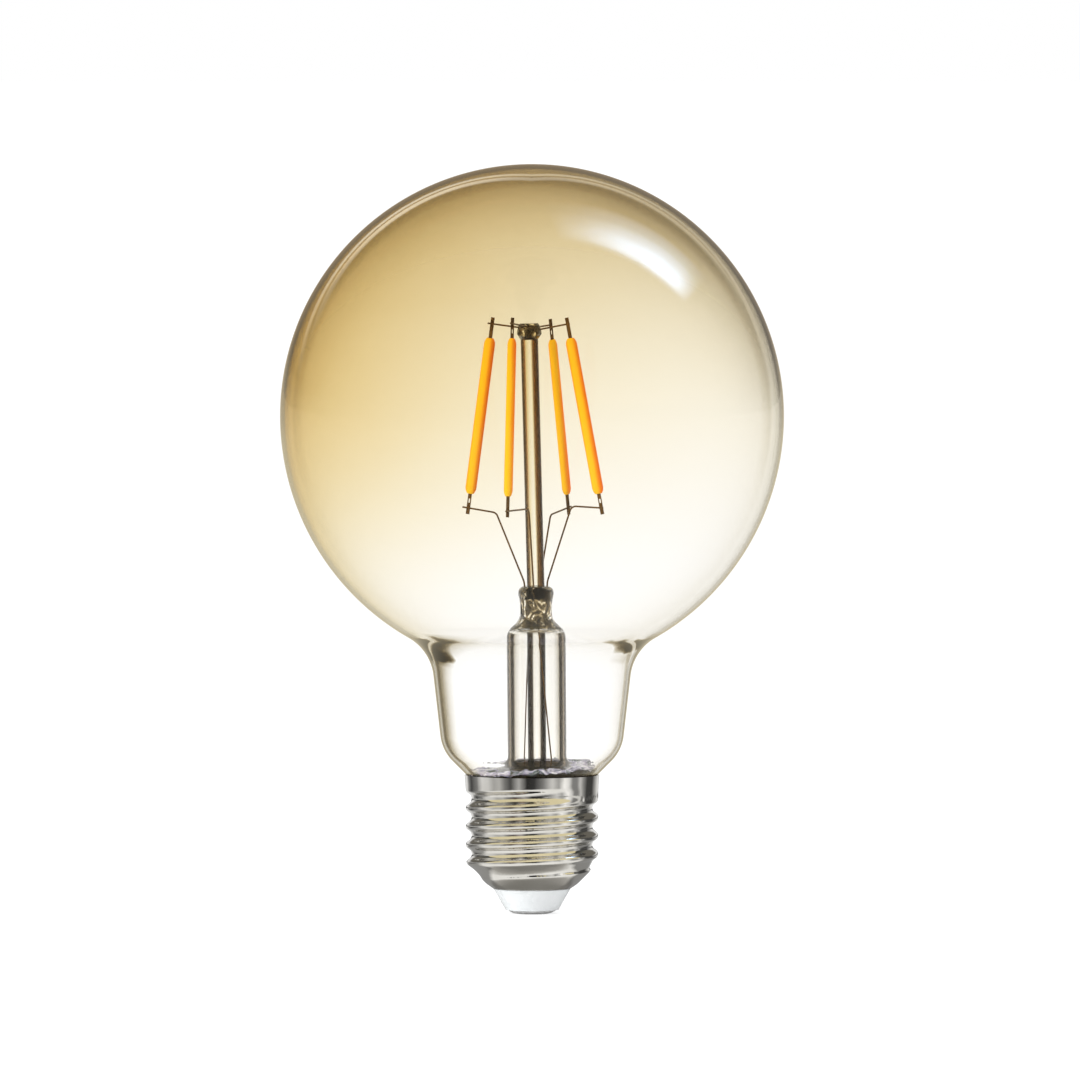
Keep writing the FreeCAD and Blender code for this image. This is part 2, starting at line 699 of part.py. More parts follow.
def tip_contact():
    """The centre contact: a shallow domed head on a pin that is bored for the fuse's lead."""
    rim = CONTACT_DIAMETER / 2
    pin = CONTACT_PIN_DIAMETER / 2
    bore = FUSE_LEAD_DIAMETER / 2 + CLEARANCE
    pin_top = CONTACT_HEAD + CONTACT_PIN_LENGTH
    face_edge = flat(CONTACT_FLAT_DIAMETER / 2, 0)
    rim_edge = flat(rim, CONTACT_HEAD - CONTACT_EDGE)
    slope = rim_edge - face_edge
    dome_centre = face_edge + AXIS * (slope.dot(slope) / (2 * slope.z))
    profile = [line(ORIGIN, face_edge), arc(dome_centre, face_edge, rim_edge)]
    rest = [
        rim_edge,
        flat(rim, CONTACT_HEAD),
        flat(pin, CONTACT_HEAD),
        flat(pin, pin_top),
        flat(bore, pin_top),
        flat(bore, CONTACT_HEAD),
        flat(0, CONTACT_HEAD),
        ORIGIN,
    ]
    profile += [line(start, end) for start, end in zip(rest, rest[1:])]
    return revolve(profile)


def cap_cement():
    """The cement between the neck's cone and throat and the inside of the shell."""
    bottom = GLASS_FOOT
    ring = cylinder(THREAD_DIAMETER / 2, bottom, RIM_HEIGHT - CEMENT_BELOW_RIM)
    outer, pole, end = glass_profile(-CLEARANCE)
    foot = flat(0, end.z)
    neck = revolve(outer + [line(end, foot), line(foot, pole)])
    return ring.common(shell_inside()).cut(neck)


def feed_wire(top_angle, foot_angle):
    """A wire that slants down the flare from under the press and goes on straight through the board."""
    points = [
        around(FEED_FOOT_RADIUS, foot_angle, BOARD_BOTTOM - FEED_PROUD),
        around(FEED_FOOT_RADIUS, foot_angle, RIM_HEIGHT + TRUMPET_RISE),
        around(FEED_TOP_RADIUS, top_angle, CAVITY_TOP + FEED_EMBED),
    ]
    return leaned(round_wire(points, (FEED_CURVE,), FEED_DIAMETER), STEM_LEAN_ANGLE)


def shell_wire():
    """The wire from the board up and out to the inside of the shell."""
    end_height = GLASS_FOOT - SHELL_WIRE_BELOW_GLASS - SHELL_WIRE_DIAMETER / 2
    heights = (end_height - SHELL_WIRE_DIAMETER / 2, end_height, end_height + SHELL_WIRE_DIAMETER / 2)
    touch = min(shell_inner_radius(90, height) for height in heights) - CLEARANCE
    points = [
        Vector(0, SHELL_WIRE_RADIUS, BOARD_BOTTOM - FEED_PROUD),
        Vector(0, SHELL_WIRE_RADIUS, end_height),
        Vector(0, touch, end_height),
    ]
    return round_wire(points, (SHELL_WIRE_CURVE,), SHELL_WIRE_DIAMETER)


def fuse_resistor():
    """The fusible resistor between the board and the centre contact, with its two leads."""
    lead_bottom = CONTACT_HEAD + CLEARANCE
    middle = (PLUG_TOP + BOARD_BOTTOM) / 2
    body = cylinder(FUSE_DIAMETER / 2, middle - FUSE_LENGTH / 2, middle + FUSE_LENGTH / 2)
    body = body.makeFillet(FUSE_EDGE, body.Edges)
    return body.fuse(cylinder(FUSE_LEAD_DIAMETER / 2, lead_bottom, BOARD_TOP + FUSE_LEAD_PROUD))


def driver_board(through):
    """The round board, drilled for the wires and the lead that pass through it."""
    board = cylinder(BOARD_DIAMETER / 2, BOARD_BOTTOM, BOARD_TOP)
    for piece in through:
        board = board.cut(piece)
    return board


def smoothing_capacitor():
    """An upright can on the board, grooved above its foot."""
    radius = CAPACITOR_DIAMETER / 2
    groove_middle = Vector(0, 0, BOARD_TOP + CAPACITOR_GROOVE_RISE)
    groove_centre = radius + CAPACITOR_GROOVE_RADIUS - CAPACITOR_GROOVE_DEPTH
    can = cylinder(radius, BOARD_TOP, BOARD_TOP + CAPACITOR_LENGTH)
    can = can.makeFillet(CAPACITOR_EDGE, [can.Edges[0], can.Edges[2]])
    groove = Part.makeTorus(groove_centre, CAPACITOR_GROOVE_RADIUS, groove_middle)
    can = can.cut(groove)
    can.translate(Vector(-CAPACITOR_CENTRE, 0, 0))
    return can


def surface_part(length, width, height, legs, side):
    """A moulded part on the underside of the board with bent legs along both long sides."""
    top = BOARD_BOTTOM - LEG_THICKNESS
    body = Part.makeBox(length, width, height, Vector(-length / 2, -width / 2, top - height))
    pitch = length / legs
    for column in range(legs):
        across = -length / 2 + (column + 0.5) * pitch - LEG_WIDTH / 2
        foot = Vector(across, -width / 2 - LEG_REACH, top)
        body = body.fuse(Part.makeBox(LEG_WIDTH, width + 2 * LEG_REACH, LEG_THICKNESS, foot))
        for edge in (-width / 2 - LEG_THICKNESS, width / 2):
            drop = Vector(across, edge, top - height / 2)
            body = body.fuse(Part.makeBox(LEG_WIDTH, LEG_THICKNESS, height / 2, drop))
    body = body.removeSplitter()
    body.rotate(ORIGIN, AXIS, 90)
    body.translate(Vector(side * CHIP_OFFSET, 0, 0))
    return body


def build_pieces():
    """Every piece of the bulb by its name."""
    pieces = {"glass_globe": glass_globe(), "exhaust_tube": exhaust_tube()}
    leads = [lead_wire(index) for index in range(len(STICK_AZIMUTHS))]
    anchors = [anchor_wire(index) for index in range(len(STICK_AZIMUTHS))]
    feeds = [feed_wire(*angles) for angles in zip(FEED_TOP_ANGLES, FEED_FOOT_ANGLES)]
    pieces["support_column"] = support_column(anchors)
    pieces["stem_flare"] = stem_flare(leads + feeds + [column_blank()])
    for index in range(len(STICK_AZIMUTHS)):
        number = index + 1
        coat, lower, upper = stick_pieces(index)
        pieces[f"light_stick_{number}"] = coat
        pieces[f"lower_tab_{number}"] = lower
        pieces[f"upper_tab_{number}"] = upper
        pieces[f"lead_wire_{number}"] = leads[index]
        pieces[f"anchor_wire_{number}"] = anchors[index]
    pieces["screw_shell"] = screw_shell()
    pieces["cap_insulator"] = cap_insulator()
    pieces["tip_contact"] = tip_contact()
    pieces["cap_cement"] = cap_cement()
    fuse = fuse_resistor()
    outlet = shell_wire()
    pieces["feed_wire_front"], pieces["feed_wire_back"] = feeds
    pieces["fuse_resistor"] = fuse
    pieces["shell_wire"] = outlet
    pieces["driver_board"] = driver_board(feeds + [fuse, outlet])
    pieces["smoothing_capacitor"] = smoothing_capacitor()
    pieces["driver_chip"] = surface_part(CHIP_LENGTH, CHIP_WIDTH, CHIP_HEIGHT, CHIP_LEGS, 1)
    pieces["bridge_rectifier"] = surface_part(BRIDGE_LENGTH, BRIDGE_WIDTH, BRIDGE_HEIGHT, BRIDGE_LEGS, -1)
    return pieces


os.makedirs("parts", exist_ok=True)
for name, shape in build_pieces().items():
    shape.exportStep(f"parts/{name}.step")
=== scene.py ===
# Looks of a tinted globe bulb: glass, stem, light sticks, screw cap, and the studio around them.
import math

import bpy
from mathutils import Matrix, Vector


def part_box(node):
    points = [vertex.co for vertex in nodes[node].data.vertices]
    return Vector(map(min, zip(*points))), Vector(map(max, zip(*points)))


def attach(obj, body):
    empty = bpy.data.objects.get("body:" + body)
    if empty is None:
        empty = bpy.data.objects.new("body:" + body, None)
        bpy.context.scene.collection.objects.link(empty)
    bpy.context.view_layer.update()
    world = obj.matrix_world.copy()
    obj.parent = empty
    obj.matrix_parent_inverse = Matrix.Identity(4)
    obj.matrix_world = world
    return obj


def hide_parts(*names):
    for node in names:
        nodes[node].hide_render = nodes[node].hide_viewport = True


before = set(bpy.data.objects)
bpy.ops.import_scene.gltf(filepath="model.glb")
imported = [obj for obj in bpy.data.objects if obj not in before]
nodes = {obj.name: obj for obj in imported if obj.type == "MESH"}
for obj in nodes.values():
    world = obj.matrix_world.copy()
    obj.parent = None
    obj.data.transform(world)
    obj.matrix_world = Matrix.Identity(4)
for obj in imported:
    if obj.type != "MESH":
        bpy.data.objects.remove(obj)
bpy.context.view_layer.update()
scene = bpy.context.scene
MM = 0.001

# The blown glass: radii, heights above the contact, and how far its sides turn from the axis
GLOBE_RADIUS = 49.5 * MM
GLOBE_MIDDLE = 97.85 * MM
BELLY_RADIUS = 50.2 * MM
NECK_RADIUS = 18.6 * MM
NECK_MIDDLE = 40.0 * MM
NECK_TAPER = math.radians(6.5)
NECK_FILLET = 9.9 * MM
SHOULDER_RADIUS = 8.4 * MM
CONE_TAPER = math.radians(45.0)
CONE_RIM_RADIUS = 12.94 * MM
CAP_RIM = 27.35 * MM
THROAT_RADIUS = 11.0 * MM
THROAT_FILLET = 1.5 * MM
GLASS_FOOT = 21.35 * MM
GLASS_WALL = 0.8 * MM
GLASS_SIDES = 160

# The stem's leaning glass: radii, heights from which it was pinched, and lean in degrees
STEM_OFFSET = 0.75 * MM
PRESS_HEIGHT = 64.4 * MM
FLARE_RADIUS = 5.8 * MM
FLARE_PINCH = 55.7 * MM
EXHAUST_RADIUS = 1.8 * MM
EXHAUST_PINCH = 70.0 * MM
STEM_LEAN = 0.45
COLUMN_RADIUS = 1.725 * MM
COLUMN_PINCH = 112.9 * MM
COLUMN_LEAN = 1.5


def new_tree(name):
    """A new material with an empty node tree and its output node."""
    material = bpy.data.materials.new(name)
    material.use_nodes = True
    tree = material.node_tree
    tree.nodes.clear()
    output = tree.nodes.new("ShaderNodeOutputMaterial")
    return material, tree, output


def place_on_piece(tree):
    """Object coordinates, in metres in the bulb's own frame."""
    return tree.nodes.new("ShaderNodeTexCoord").outputs["Object"]


def math_node(tree, operation, first, second=None, clamp=False):
    """One Math node; each operand is a socket or a plain number."""
    node = tree.nodes.new("ShaderNodeMath")
    node.operation = operation
    node.use_clamp = clamp
    for index, value in enumerate((first, second)):
        if value is None:
            continue
        if isinstance(value, (int, float)):
            node.inputs[index].default_value = value
        else:
            tree.links.new(value, node.inputs[index])
    return node.outputs[0]


def times(tree, *factors):
    """The product of sockets and plain numbers."""
    product = factors[0]
    for factor in factors[1:]:
        product = math_node(tree, "MULTIPLY", product, factor)
    return product


def total(tree, *parts):
    """The sum of sockets and plain numbers."""
    result = parts[0]
    for part in parts[1:]:
        result = math_node(tree, "ADD", result, part)
    return result


def axes(tree, place):
    """The three coordinates of a place."""
    split = tree.nodes.new("ShaderNodeSeparateXYZ")
    tree.links.new(place, split.inputs[0])
    return split.outputs["X"], split.outputs["Y"], split.outputs["Z"]


def grazing(tree, normal=None):
    """0 where a face is seen straight on, 1 where it is seen edge-on."""
    weight = tree.nodes.new("ShaderNodeLayerWeight")
    weight.inputs["Blend"].default_value = 0.5
    if normal is not None:
        tree.links.new(normal, weight.inputs["Normal"])
    return weight.outputs["Facing"]


def blend(tree, factor, first, second):
    """A mix of two colours; each is a socket or a plain colour."""
    node = tree.nodes.new("ShaderNodeMix")
    node.data_type = "RGBA"
    tree.links.new(factor, node.inputs["Factor"])
    for name, colour in (("A", first), ("B", second)):
        if isinstance(colour, tuple):
            node.inputs[name].default_value = (*colour, 1.0)
        else:
            tree.links.new(colour, node.inputs[name])
    return node.outputs["Result"]


def multiplied(tree, first, second):
    """Two colours, one times the other."""
    node = tree.nodes.new("ShaderNodeVectorMath")
    node.operation = "MULTIPLY"
    tree.links.new(first, node.inputs[0])
    tree.links.new(second, node.inputs[1])
    return node.outputs[0]


def tint_to_depth(tree, colour, depth):
    """A plain colour to the power of a depth, as a thicker tint takes more light."""
    node = tree.nodes.new("ShaderNodeGamma")
    node.inputs["Color"].default_value = (*colour, 1.0)
    tree.links.new(depth, node.inputs["Gamma"])
    return node.outputs["Color"]


def noise(tree, place, scale, detail=3.0, roughness=0.5, distortion=0.0):
    """A noise texture's height, 0 to 1."""
    node = tree.nodes.new("ShaderNodeTexNoise")
    node.inputs["Scale"].default_value = scale
    node.inputs["Detail"].default_value = detail
    node.inputs["Roughness"].default_value = roughness
    node.inputs["Distortion"].default_value = distortion
    tree.links.new(place, node.inputs["Vector"])
    return node.outputs["Fac"]


def stretched(tree, place, scale):
    """The same place, scaled along the axes."""
    node = tree.nodes.new("ShaderNodeMapping")
    node.inputs["Scale"].default_value = scale
    tree.links.new(place, node.inputs["Vector"])
    return node.outputs["Vector"]


def greys(*stops):
    """Grey ramp stops from (position, tone) pairs."""
    return [(position, (tone,) * 3) for position, tone in stops]


def ramp(tree, factor, stops):
    """A colour ramp from (position, colour) pairs."""
    node = tree.nodes.new("ShaderNodeValToRGB")
    elements = node.color_ramp.elements
    while len(elements) < len(stops):
        elements.new(1.0)
    for element, (position, colour) in zip(elements, stops):
        element.position = position
        element.color = (*colour, 1.0)
    tree.links.new(factor, node.inputs["Fac"])
    return node.outputs["Color"]


def span(tree, value, low, high, start, end):
    """Maps a value from one range to another, held at the ends."""
    node = tree.nodes.new("ShaderNodeMapRange")
    node.inputs["From Min"].default_value = low
    node.inputs["From Max"].default_value = high
    node.inputs["To Min"].default_value = start
    node.inputs["To Max"].default_value = end
    tree.links.new(value, node.inputs["Value"])
    return node.outputs["Result"]


def blend_numbers(tree, factor, first, second):
    """The first number where the factor is 0 and the second where it is 1."""
    rest = math_node(tree, "SUBTRACT", 1.0, factor)
    return total(tree, times(tree, rest, first), times(tree, factor, second))


def bump(tree, height, strength, distance):
    """A bump from a height, with its depth in metres."""
    node = tree.nodes.new("ShaderNodeBump")
    node.inputs["Strength"].default_value = strength
    node.inputs["Distance"].default_value = distance
    tree.links.new(height, node.inputs["Height"])
    return node.outputs["Normal"]


def surface(tree, output, roughness, metallic=0.0, colour=None, normal=None):
    """A Principled shader on the output, with plain numbers set on its sockets."""
    shader = tree.nodes.new("ShaderNodeBsdfPrincipled")
    shader.inputs["Metallic"].default_value = metallic
    if isinstance(roughness, (int, float)):
        shader.inputs["Roughness"].default_value = roughness
    else:
        tree.links.new(roughness, shader.inputs["Roughness"])
    if colour is not None:
        tree.links.new(colour, shader.inputs["Base Color"])
    if normal is not None:
        tree.links.new(normal, shader.inputs["Normal"])
    tree.links.new(shader.outputs["BSDF"], output.inputs["Surface"])
    return shader


def let_lamps_through(tree, output, shader, tint):
    """Glass that bends what is seen through it and lets the lamps reach what it shuts in."""
    path = tree.nodes.new("ShaderNodeLightPath")
    clear = tree.nodes.new("ShaderNodeBsdfTransparent")
    mix = tree.nodes.new("ShaderNodeMixShader")
    root = tree.nodes.new("ShaderNodeGamma")
    root.inputs["Gamma"].default_value = 0.5
    tree.links.new(tint, root.inputs["Color"])
    tree.links.new(root.outputs["Color"], clear.inputs["Color"])
    tree.links.new(path.outputs["Is Shadow Ray"], mix.inputs["Fac"])
    tree.links.new(shader.outputs["BSDF"], mix.inputs[1])
    tree.links.new(clear.outputs["BSDF"], mix.inputs[2])
    tree.links.new(mix.outputs["Shader"], output.inputs["Surface"])


def absorb(tree, output, colour, density):
    """Glass that darkens where the light has far to go through it."""
    volume = tree.nodes.new("ShaderNodeVolumeAbsorption")
    volume.inputs["Color"].default_value = (*colour, 1.0)
    volume.inputs["Density"].default_value = density
    tree.links.new(volume.outputs["Volume"], output.inputs["Volume"])


def glass(tree, output, colour, tint, bend, normal=None):
    """Clear bending glass of a colour that the lamps pass through."""
    shader = surface(tree, output, 0.0, colour=colour, normal=normal)
    shader.inputs["IOR"].default_value = bend
    shader.inputs["Transmission Weight"].default_value = 1.0
    let_lamps_through(tree, output, shader, tint)
    return shader


def gold_coat_and_painted_light(tree, place, across, up, edge):
    """Tint of the gold coat, which deepens upwards as the coat does and to the left as painted light that
    pales the right, with faint clouds and painted shade on the left rim.
    """
    growth = total(
        tree, COAT_LEVEL, times(tree, PAINTED_LIGHT_ACROSS, across), times(tree, COAT_UP, up),
        times(tree, COAT_ACROSS_TWICE, across, across), times(tree, PAINTED_LIGHT_ACROSS_UP, across, up),
        times(tree, COAT_UP_TWICE, up, up), times(tree, COAT_UP_THRICE, up, up, up),
    )
    cloud = noise(tree, stretched(tree, place, COAT_CLOUD_SCALE), 1.0, 4.0, 0.55, 0.6)
    patchy = total(tree, times(tree, cloud, COAT_CLOUD), 1.0 - COAT_CLOUD / 2)
    depth = total(tree, times(tree, COAT_GAIN, math_node(tree, "POWER", math.e, growth)), -COAT_BARE)
    depth = times(tree, COAT_PER_WALL, math_node(tree, "MAXIMUM", depth, 0.0), patchy)
    # Painted shade, deeper along the left rim.
    left = math_node(tree, "MAXIMUM", times(tree, across, -1.0), 0.0)
    rim = times(tree, PAINTED_SHADE_LEFT_RIM, left, math_node(tree, "POWER", edge, PAINTED_SHADE_RIM_FALL))
    return tint_to_depth(tree, COAT_COLOUR, total(tree, depth, rim))


# The coat's depth on the globe, by the shares of its radius across to the right and up; its rise is the
# coat's own, its change from left to right is painted light, and its extra depth on the left rim is painted
# shade
COAT_COLOUR = (0.870, 0.735, 0.455)
COAT_LEVEL = -0.575
PAINTED_LIGHT_ACROSS = -0.88
COAT_UP = 1.15
COAT_ACROSS_TWICE = 0.24
PAINTED_LIGHT_ACROSS_UP = 0.39
COAT_UP_TWICE = -0.95
COAT_UP_THRICE = 0.89
COAT_GAIN = 1.25
COAT_BARE = 0.11
COAT_PER_WALL = 0.5
COAT_CLOUD = 0.2
COAT_CLOUD_SCALE = (30, 30, 55)
PAINTED_SHADE_LEFT_RIM = 3.0
PAINTED_SHADE_RIM_FALL = 6.0


def on_outer_wall(tree, place):
    """1 on the outer face of the glass and 0 on its inner face."""
    facing = tree.nodes.new("ShaderNodeVectorMath")
    facing.operation = "DOT_PRODUCT"
    tree.links.new(stretched(tree, place, (1.0, 1.0, 0.0)), facing.inputs[0])
    tree.links.new(tree.nodes.new("ShaderNodeTexCoord").outputs["Normal"], facing.inputs[1])
    return math_node(tree, "GREATER_THAN", facing.outputs["Value"], 0.0)


def painted_wall_lines(tree, x, z, up, edge):
    """Painted shade of the thin dark lines along the edges of the globe and the neck."""
    globe = times(tree, span(tree, up, *LINE_RISE, LINE_FAINT, LINE_PAINTED_SHADE), ramp(tree, edge, GLOBE_PAINTED_LINES))
    inner = times(tree, span(tree, x, *NECK_SIDES, *NECK_INNER_SHARE), ramp(tree, edge, NECK_INNER))
    soft = times(
        tree, span(tree, x, *SOFT_SIDE, 1.0, 0.0), span(tree, z, *SOFT_RISE, 0.0, 1.0),
        ramp(tree, edge, NECK_SOFT),
    )
    neck = times(tree, NECK_PAINTED_SHADE, total(tree, inner, soft, ramp(tree, edge, NECK_OUTER)))
    return blend_numbers(tree, span(tree, z, *NECK_TOP, 1.0, 0.0), globe, neck)


# Grazing share of the outer wall, with the painted shade of its lines there
GLOBE_PAINTED_LINES = greys(
    (0.0, 0.0), (0.58, 0.0), (0.66, 0.35), (0.68, 0.30), (0.70, 0.0), (0.74, 0.0), (0.755, 0.25),
    (0.775, 0.05), (0.80, 0.15), (0.85, 0.45), (1.0, 0.6),
)
NECK_INNER = greys(
    (0.0, 0.0), (0.44, 0.0), (0.57, 0.06), (0.64, 0.30), (0.66, 1.3), (0.71, 1.5), (0.73, 0.15),
    (0.80, 0.10), (0.82, 0.0), (1.0, 0.0),
)
NECK_OUTER = greys((0.0, 0.0), (0.80, 0.0), (0.83, 2.0), (1.0, 2.4))
NECK_SOFT = greys(
    (0.0, 0.0), (0.42, 0.0), (0.48, 0.14), (0.514, 0.25), (0.554, 0.5), (0.598, 0.83), (0.623, 1.07),
    (0.65, 1.07), (0.68, 0.7), (0.72, 0.3), (0.74, 0.0), (1.0, 0.0),
)
LINE_PAINTED_SHADE = 1.9
LINE_FAINT = 0.1
LINE_RISE = (-0.3, 0.5)
NECK_PAINTED_SHADE = 2.0
NECK_TOP = (52.0 * MM, 56.0 * MM)
NECK_SIDES = (-15.0 * MM, 15.0 * MM)
NECK_INNER_SHARE = (1.15, 0.35)
SOFT_SIDE = (-16.0 * MM, -8.0 * MM)
SOFT_RISE = (30.5 * MM, 34.0 * MM)


def painted_fillet_shade(tree, place, x, z, edge):
    """Painted shade in dark smears at both sides of the fillet, where the neck widens into the globe."""
    ripple = times(tree, total(tree, noise(tree, place, RIPPLE_SCALE, 2.0), -0.5), RIPPLE_DEPTH)
    rise = span(tree, total(tree, z, ripple), *FILLET_RISE, 0.0, 1.0)
    lower = times(tree, span(tree, x, *LOWER_SIDES, *LOWER_SHARE), ramp(tree, rise, LOWER_SMEAR))
    bands = math_node(tree, "MAXIMUM", lower, ramp(tree, rise, UPPER_SMEAR))
    beyond = math_node(tree, "SUBTRACT", edge, span(tree, z, *SMEAR_RISE, *SMEAR_START))
    grown = span(tree, beyond, 0.0, SMEAR_FADE, 0.0, 1.0)
    aside = span(tree, math_node(tree, "ABSOLUTE", x), *SMEAR_SIDE, SMEAR_MIDDLE, 1.0)
    return times(tree, SMEAR_PAINTED_SHADE, bands, aside, grown, ramp(tree, edge, SMEAR_GAP))


# Share of the fillet's rise, with the strength of each smear of painted shade, and the grazing share of the
# clear line in them
LOWER_SMEAR = greys(
    (0.0, 0.0), (0.15, 0.1), (0.27, 0.9), (0.42, 0.8), (0.55, 0.5), (0.66, 0.3), (0.75, 0.0), (1.0, 0.0),
)
UPPER_SMEAR = greys((0.0, 0.0), (0.50, 0.0), (0.66, 0.9), (0.84, 1.0), (0.96, 0.2), (1.0, 0.0))
SMEAR_GAP = greys((0.0, 1.0), (0.69, 1.0), (0.715, 0.05), (0.75, 0.05), (0.775, 1.0), (1.0, 1.0))
SMEAR_PAINTED_SHADE = 18.0
SMEAR_RISE = (50.5 * MM, 54.0 * MM)
SMEAR_START = (0.42, 0.62)
SMEAR_FADE = 0.16
SMEAR_SIDE = (6.0 * MM, 13.0 * MM)
SMEAR_MIDDLE = 0.25
LOWER_SIDES = (-6.0 * MM, 6.0 * MM)
LOWER_SHARE = (1.0, 0.03)
FILLET_RISE = (49.0 * MM, 55.0 * MM)
RIPPLE_SCALE = 160.0
RIPPLE_DEPTH = 3.0 * MM


def crown_darkening_and_painted_shade(tree, place, x, z, across, up, edge):
    """Depth of darkening: a little towards the crown, then painted shade as a veil inside the rim and as the
    outer wall's lines, smears and outline.
    """
    upper = math_node(tree, "MAXIMUM", up, 0.0)
    crown = times(tree, CROWN_DARKENING, math_node(tree, "POWER", upper, CROWN_FALL))
    to_right = total(tree, 1.0, times(tree, RIM_PAINTED_SHADE_RIGHT, across))
    veil = total(tree, RIM_PAINTED_SHADE, times(tree, RIM_PAINTED_SHADE_UP, upper, to_right))
    veil = times(tree, veil, ramp(tree, edge, RIM_PAINTED_VEIL))
    lines = painted_wall_lines(tree, x, z, up, edge)
    smears = painted_fillet_shade(tree, place, x, z, edge)
    outline = span(tree, edge, *OUTLINE_EDGE, 0.0, OUTLINE_PAINTED_SHADE)
    outer = times(tree, on_outer_wall(tree, place), total(tree, lines, smears, outline))
    return total(tree, crown, veil, outer)


# Grazing share of both walls, with the painted shade of the veil there
RIM_PAINTED_VEIL = greys(
    (0.0, 0.0), (0.2, 0.008), (0.3, 0.027), (0.4, 0.064), (0.5, 0.125), (0.6, 0.216), (0.66, 0.287),
    (0.70, 0.25), (0.76, 0.10), (1.0, 0.10),
)
RIM_PAINTED_SHADE = 0.2
RIM_PAINTED_SHADE_UP = 2.2
RIM_PAINTED_SHADE_RIGHT = 0.6
CROWN_DARKENING = 0.14
CROWN_FALL = 1.5
OUTLINE_PAINTED_SHADE = 2.0
OUTLINE_EDGE = (0.86, 0.92)


def amber_glass():
    """Clear glass with a gold coat that thins to nothing at the neck, and painted shade at its edges."""
    material, tree, output = new_tree("amber_glass")
    place = place_on_piece(tree)
    x, _, z = axes(tree, place)
    across = math_node(tree, "DIVIDE", x, GLOBE_RADIUS)
    up = math_node(tree, "DIVIDE", math_node(tree, "SUBTRACT", z, GLOBE_MIDDLE), GLOBE_RADIUS)
    edge = grazing(tree)
    coat = gold_coat_and_painted_light(tree, place, across, up, edge)
    # Darkening towards the crown, and painted shade at the glass's edges.
    darkening_and_painted_shade = tint_to_depth(tree, DARKENING_AND_PAINTED_SHADE_COLOUR, crown_darkening_and_painted_shade(tree, place, x, z, across, up, edge))
    shader = glass(tree, output, multiplied(tree, coat, darkening_and_painted_shade), coat, AMBER_BEND)
    shader.inputs["Specular Tint"].default_value = AMBER_GLOSS
    absorb(tree, output, AMBER_DEPTH_COLOUR, AMBER_DENSITY)
    return material


# The envelope's glass: the colour of its darkening and painted shade, its bend and gloss, and what its depth
# takes away
DARKENING_AND_PAINTED_SHADE_COLOUR = (0.400, 0.355, 0.270)
AMBER_BEND = 1.5
AMBER_GLOSS = (0.3, 0.3, 0.3, 1.0)
AMBER_DEPTH_COLOUR = (0.75, 0.68, 0.40)
AMBER_DENSITY = 30.0


def stem_axis(tree, z, foot, lean):
    """How far the leaned axis of a stem piece is to the right at a height."""
    rise = math_node(tree, "SUBTRACT", z, PRESS_HEIGHT)
    return total(tree, foot, times(tree, rise, -math.tan(math.radians(lean))))


def lead_glass(name, outer, lean, bands, pinch, side=0.0):
    """Lead glass of the stem: painted shade where its wall is seen edge-on and, on the column, on its right
    side; lumpy where it was pinched, with painted shade and painted glints there.
    """
    material, tree, output = new_tree(name)
    place = place_on_piece(tree)
    x, y, z = axes(tree, place)
    across = math_node(tree, "SUBTRACT", x, stem_axis(tree, z, STEM_OFFSET, lean))
    radius = math_node(tree, "SQRT", total(tree, times(tree, across, across), times(tree, y, y)))
    pinched = span(tree, z, pinch, pinch + PINCH_RUN_IN, 0.0, 1.0)
    lumps = times(tree, noise(tree, place, LUMP_SCALE, 2.0, 0.5, 0.8), pinched)
    normal = bump(tree, lumps, 1.0, LUMP_DEPTH)
    outside = span(tree, radius, outer - OUTER_SKIN[0], outer - OUTER_SKIN[1], 0.0, 1.0)
    edge = times(tree, grazing(tree, normal), math_node(tree, "MAXIMUM", outside, pinched))
    # On the column, painted shade on the right side of the glass.
    if side:
        painted_side_shade = span(tree, across, SIDE_REACH[0] * outer, SIDE_REACH[1] * outer, 0.0, side)
        edge = math_node(tree, "MAXIMUM", edge, times(tree, painted_side_shade, outside))
    wall = ramp(tree, edge, bands)
    streaks = noise(tree, stretched(tree, place, STREAK_SCALE), 1.0, 2.0)
    tint = ramp(tree, streaks, STREAK_TONES)
    # Painted shade in the pinched glass, with painted glints where this noise is high.
    painted_glints = noise(tree, stretched(tree, place, (1.0, 1.0, 0.7)), GLINT_SCALE, 2.0, 0.5, 1.6)
    behind = tree.nodes.new("ShaderNodeNewGeometry").outputs["Backfacing"]
    dark = blend(tree, behind, ramp(tree, painted_glints, PINCH_PAINTED_SHADE_AND_GLINTS), (1.0, 1.0, 1.0))
    shade = multiplied(tree, tint, blend(tree, pinched, wall, dark))
    shader = glass(tree, output, shade, tint, LEAD_BEND, normal)
    shader.inputs["Specular Tint"].default_value = LEAD_GLOSS
    return material


# The stem's glass: bend and gloss, then its pinched lumps, outer skin, the column's painted side shade,
# streaks, and the pattern of painted glints
LEAD_BEND = 1.54
LEAD_GLOSS = (0.1, 0.1, 0.1, 1.0)
PINCH_RUN_IN = 0.7 * MM
LUMP_SCALE = 420.0
LUMP_DEPTH = 0.6 * MM
OUTER_SKIN = (0.35 * MM, 0.15 * MM)
SIDE_REACH = (0.15, 0.55)
COLUMN_RIGHT_PAINTED_SHADE = 0.26
STREAK_SCALE = (900, 900, 25)
STREAK_TONES = ((0.3, (0.96, 0.95, 0.92)), (0.7, (0.995, 0.99, 0.98)))
GLINT_SCALE = 520.0

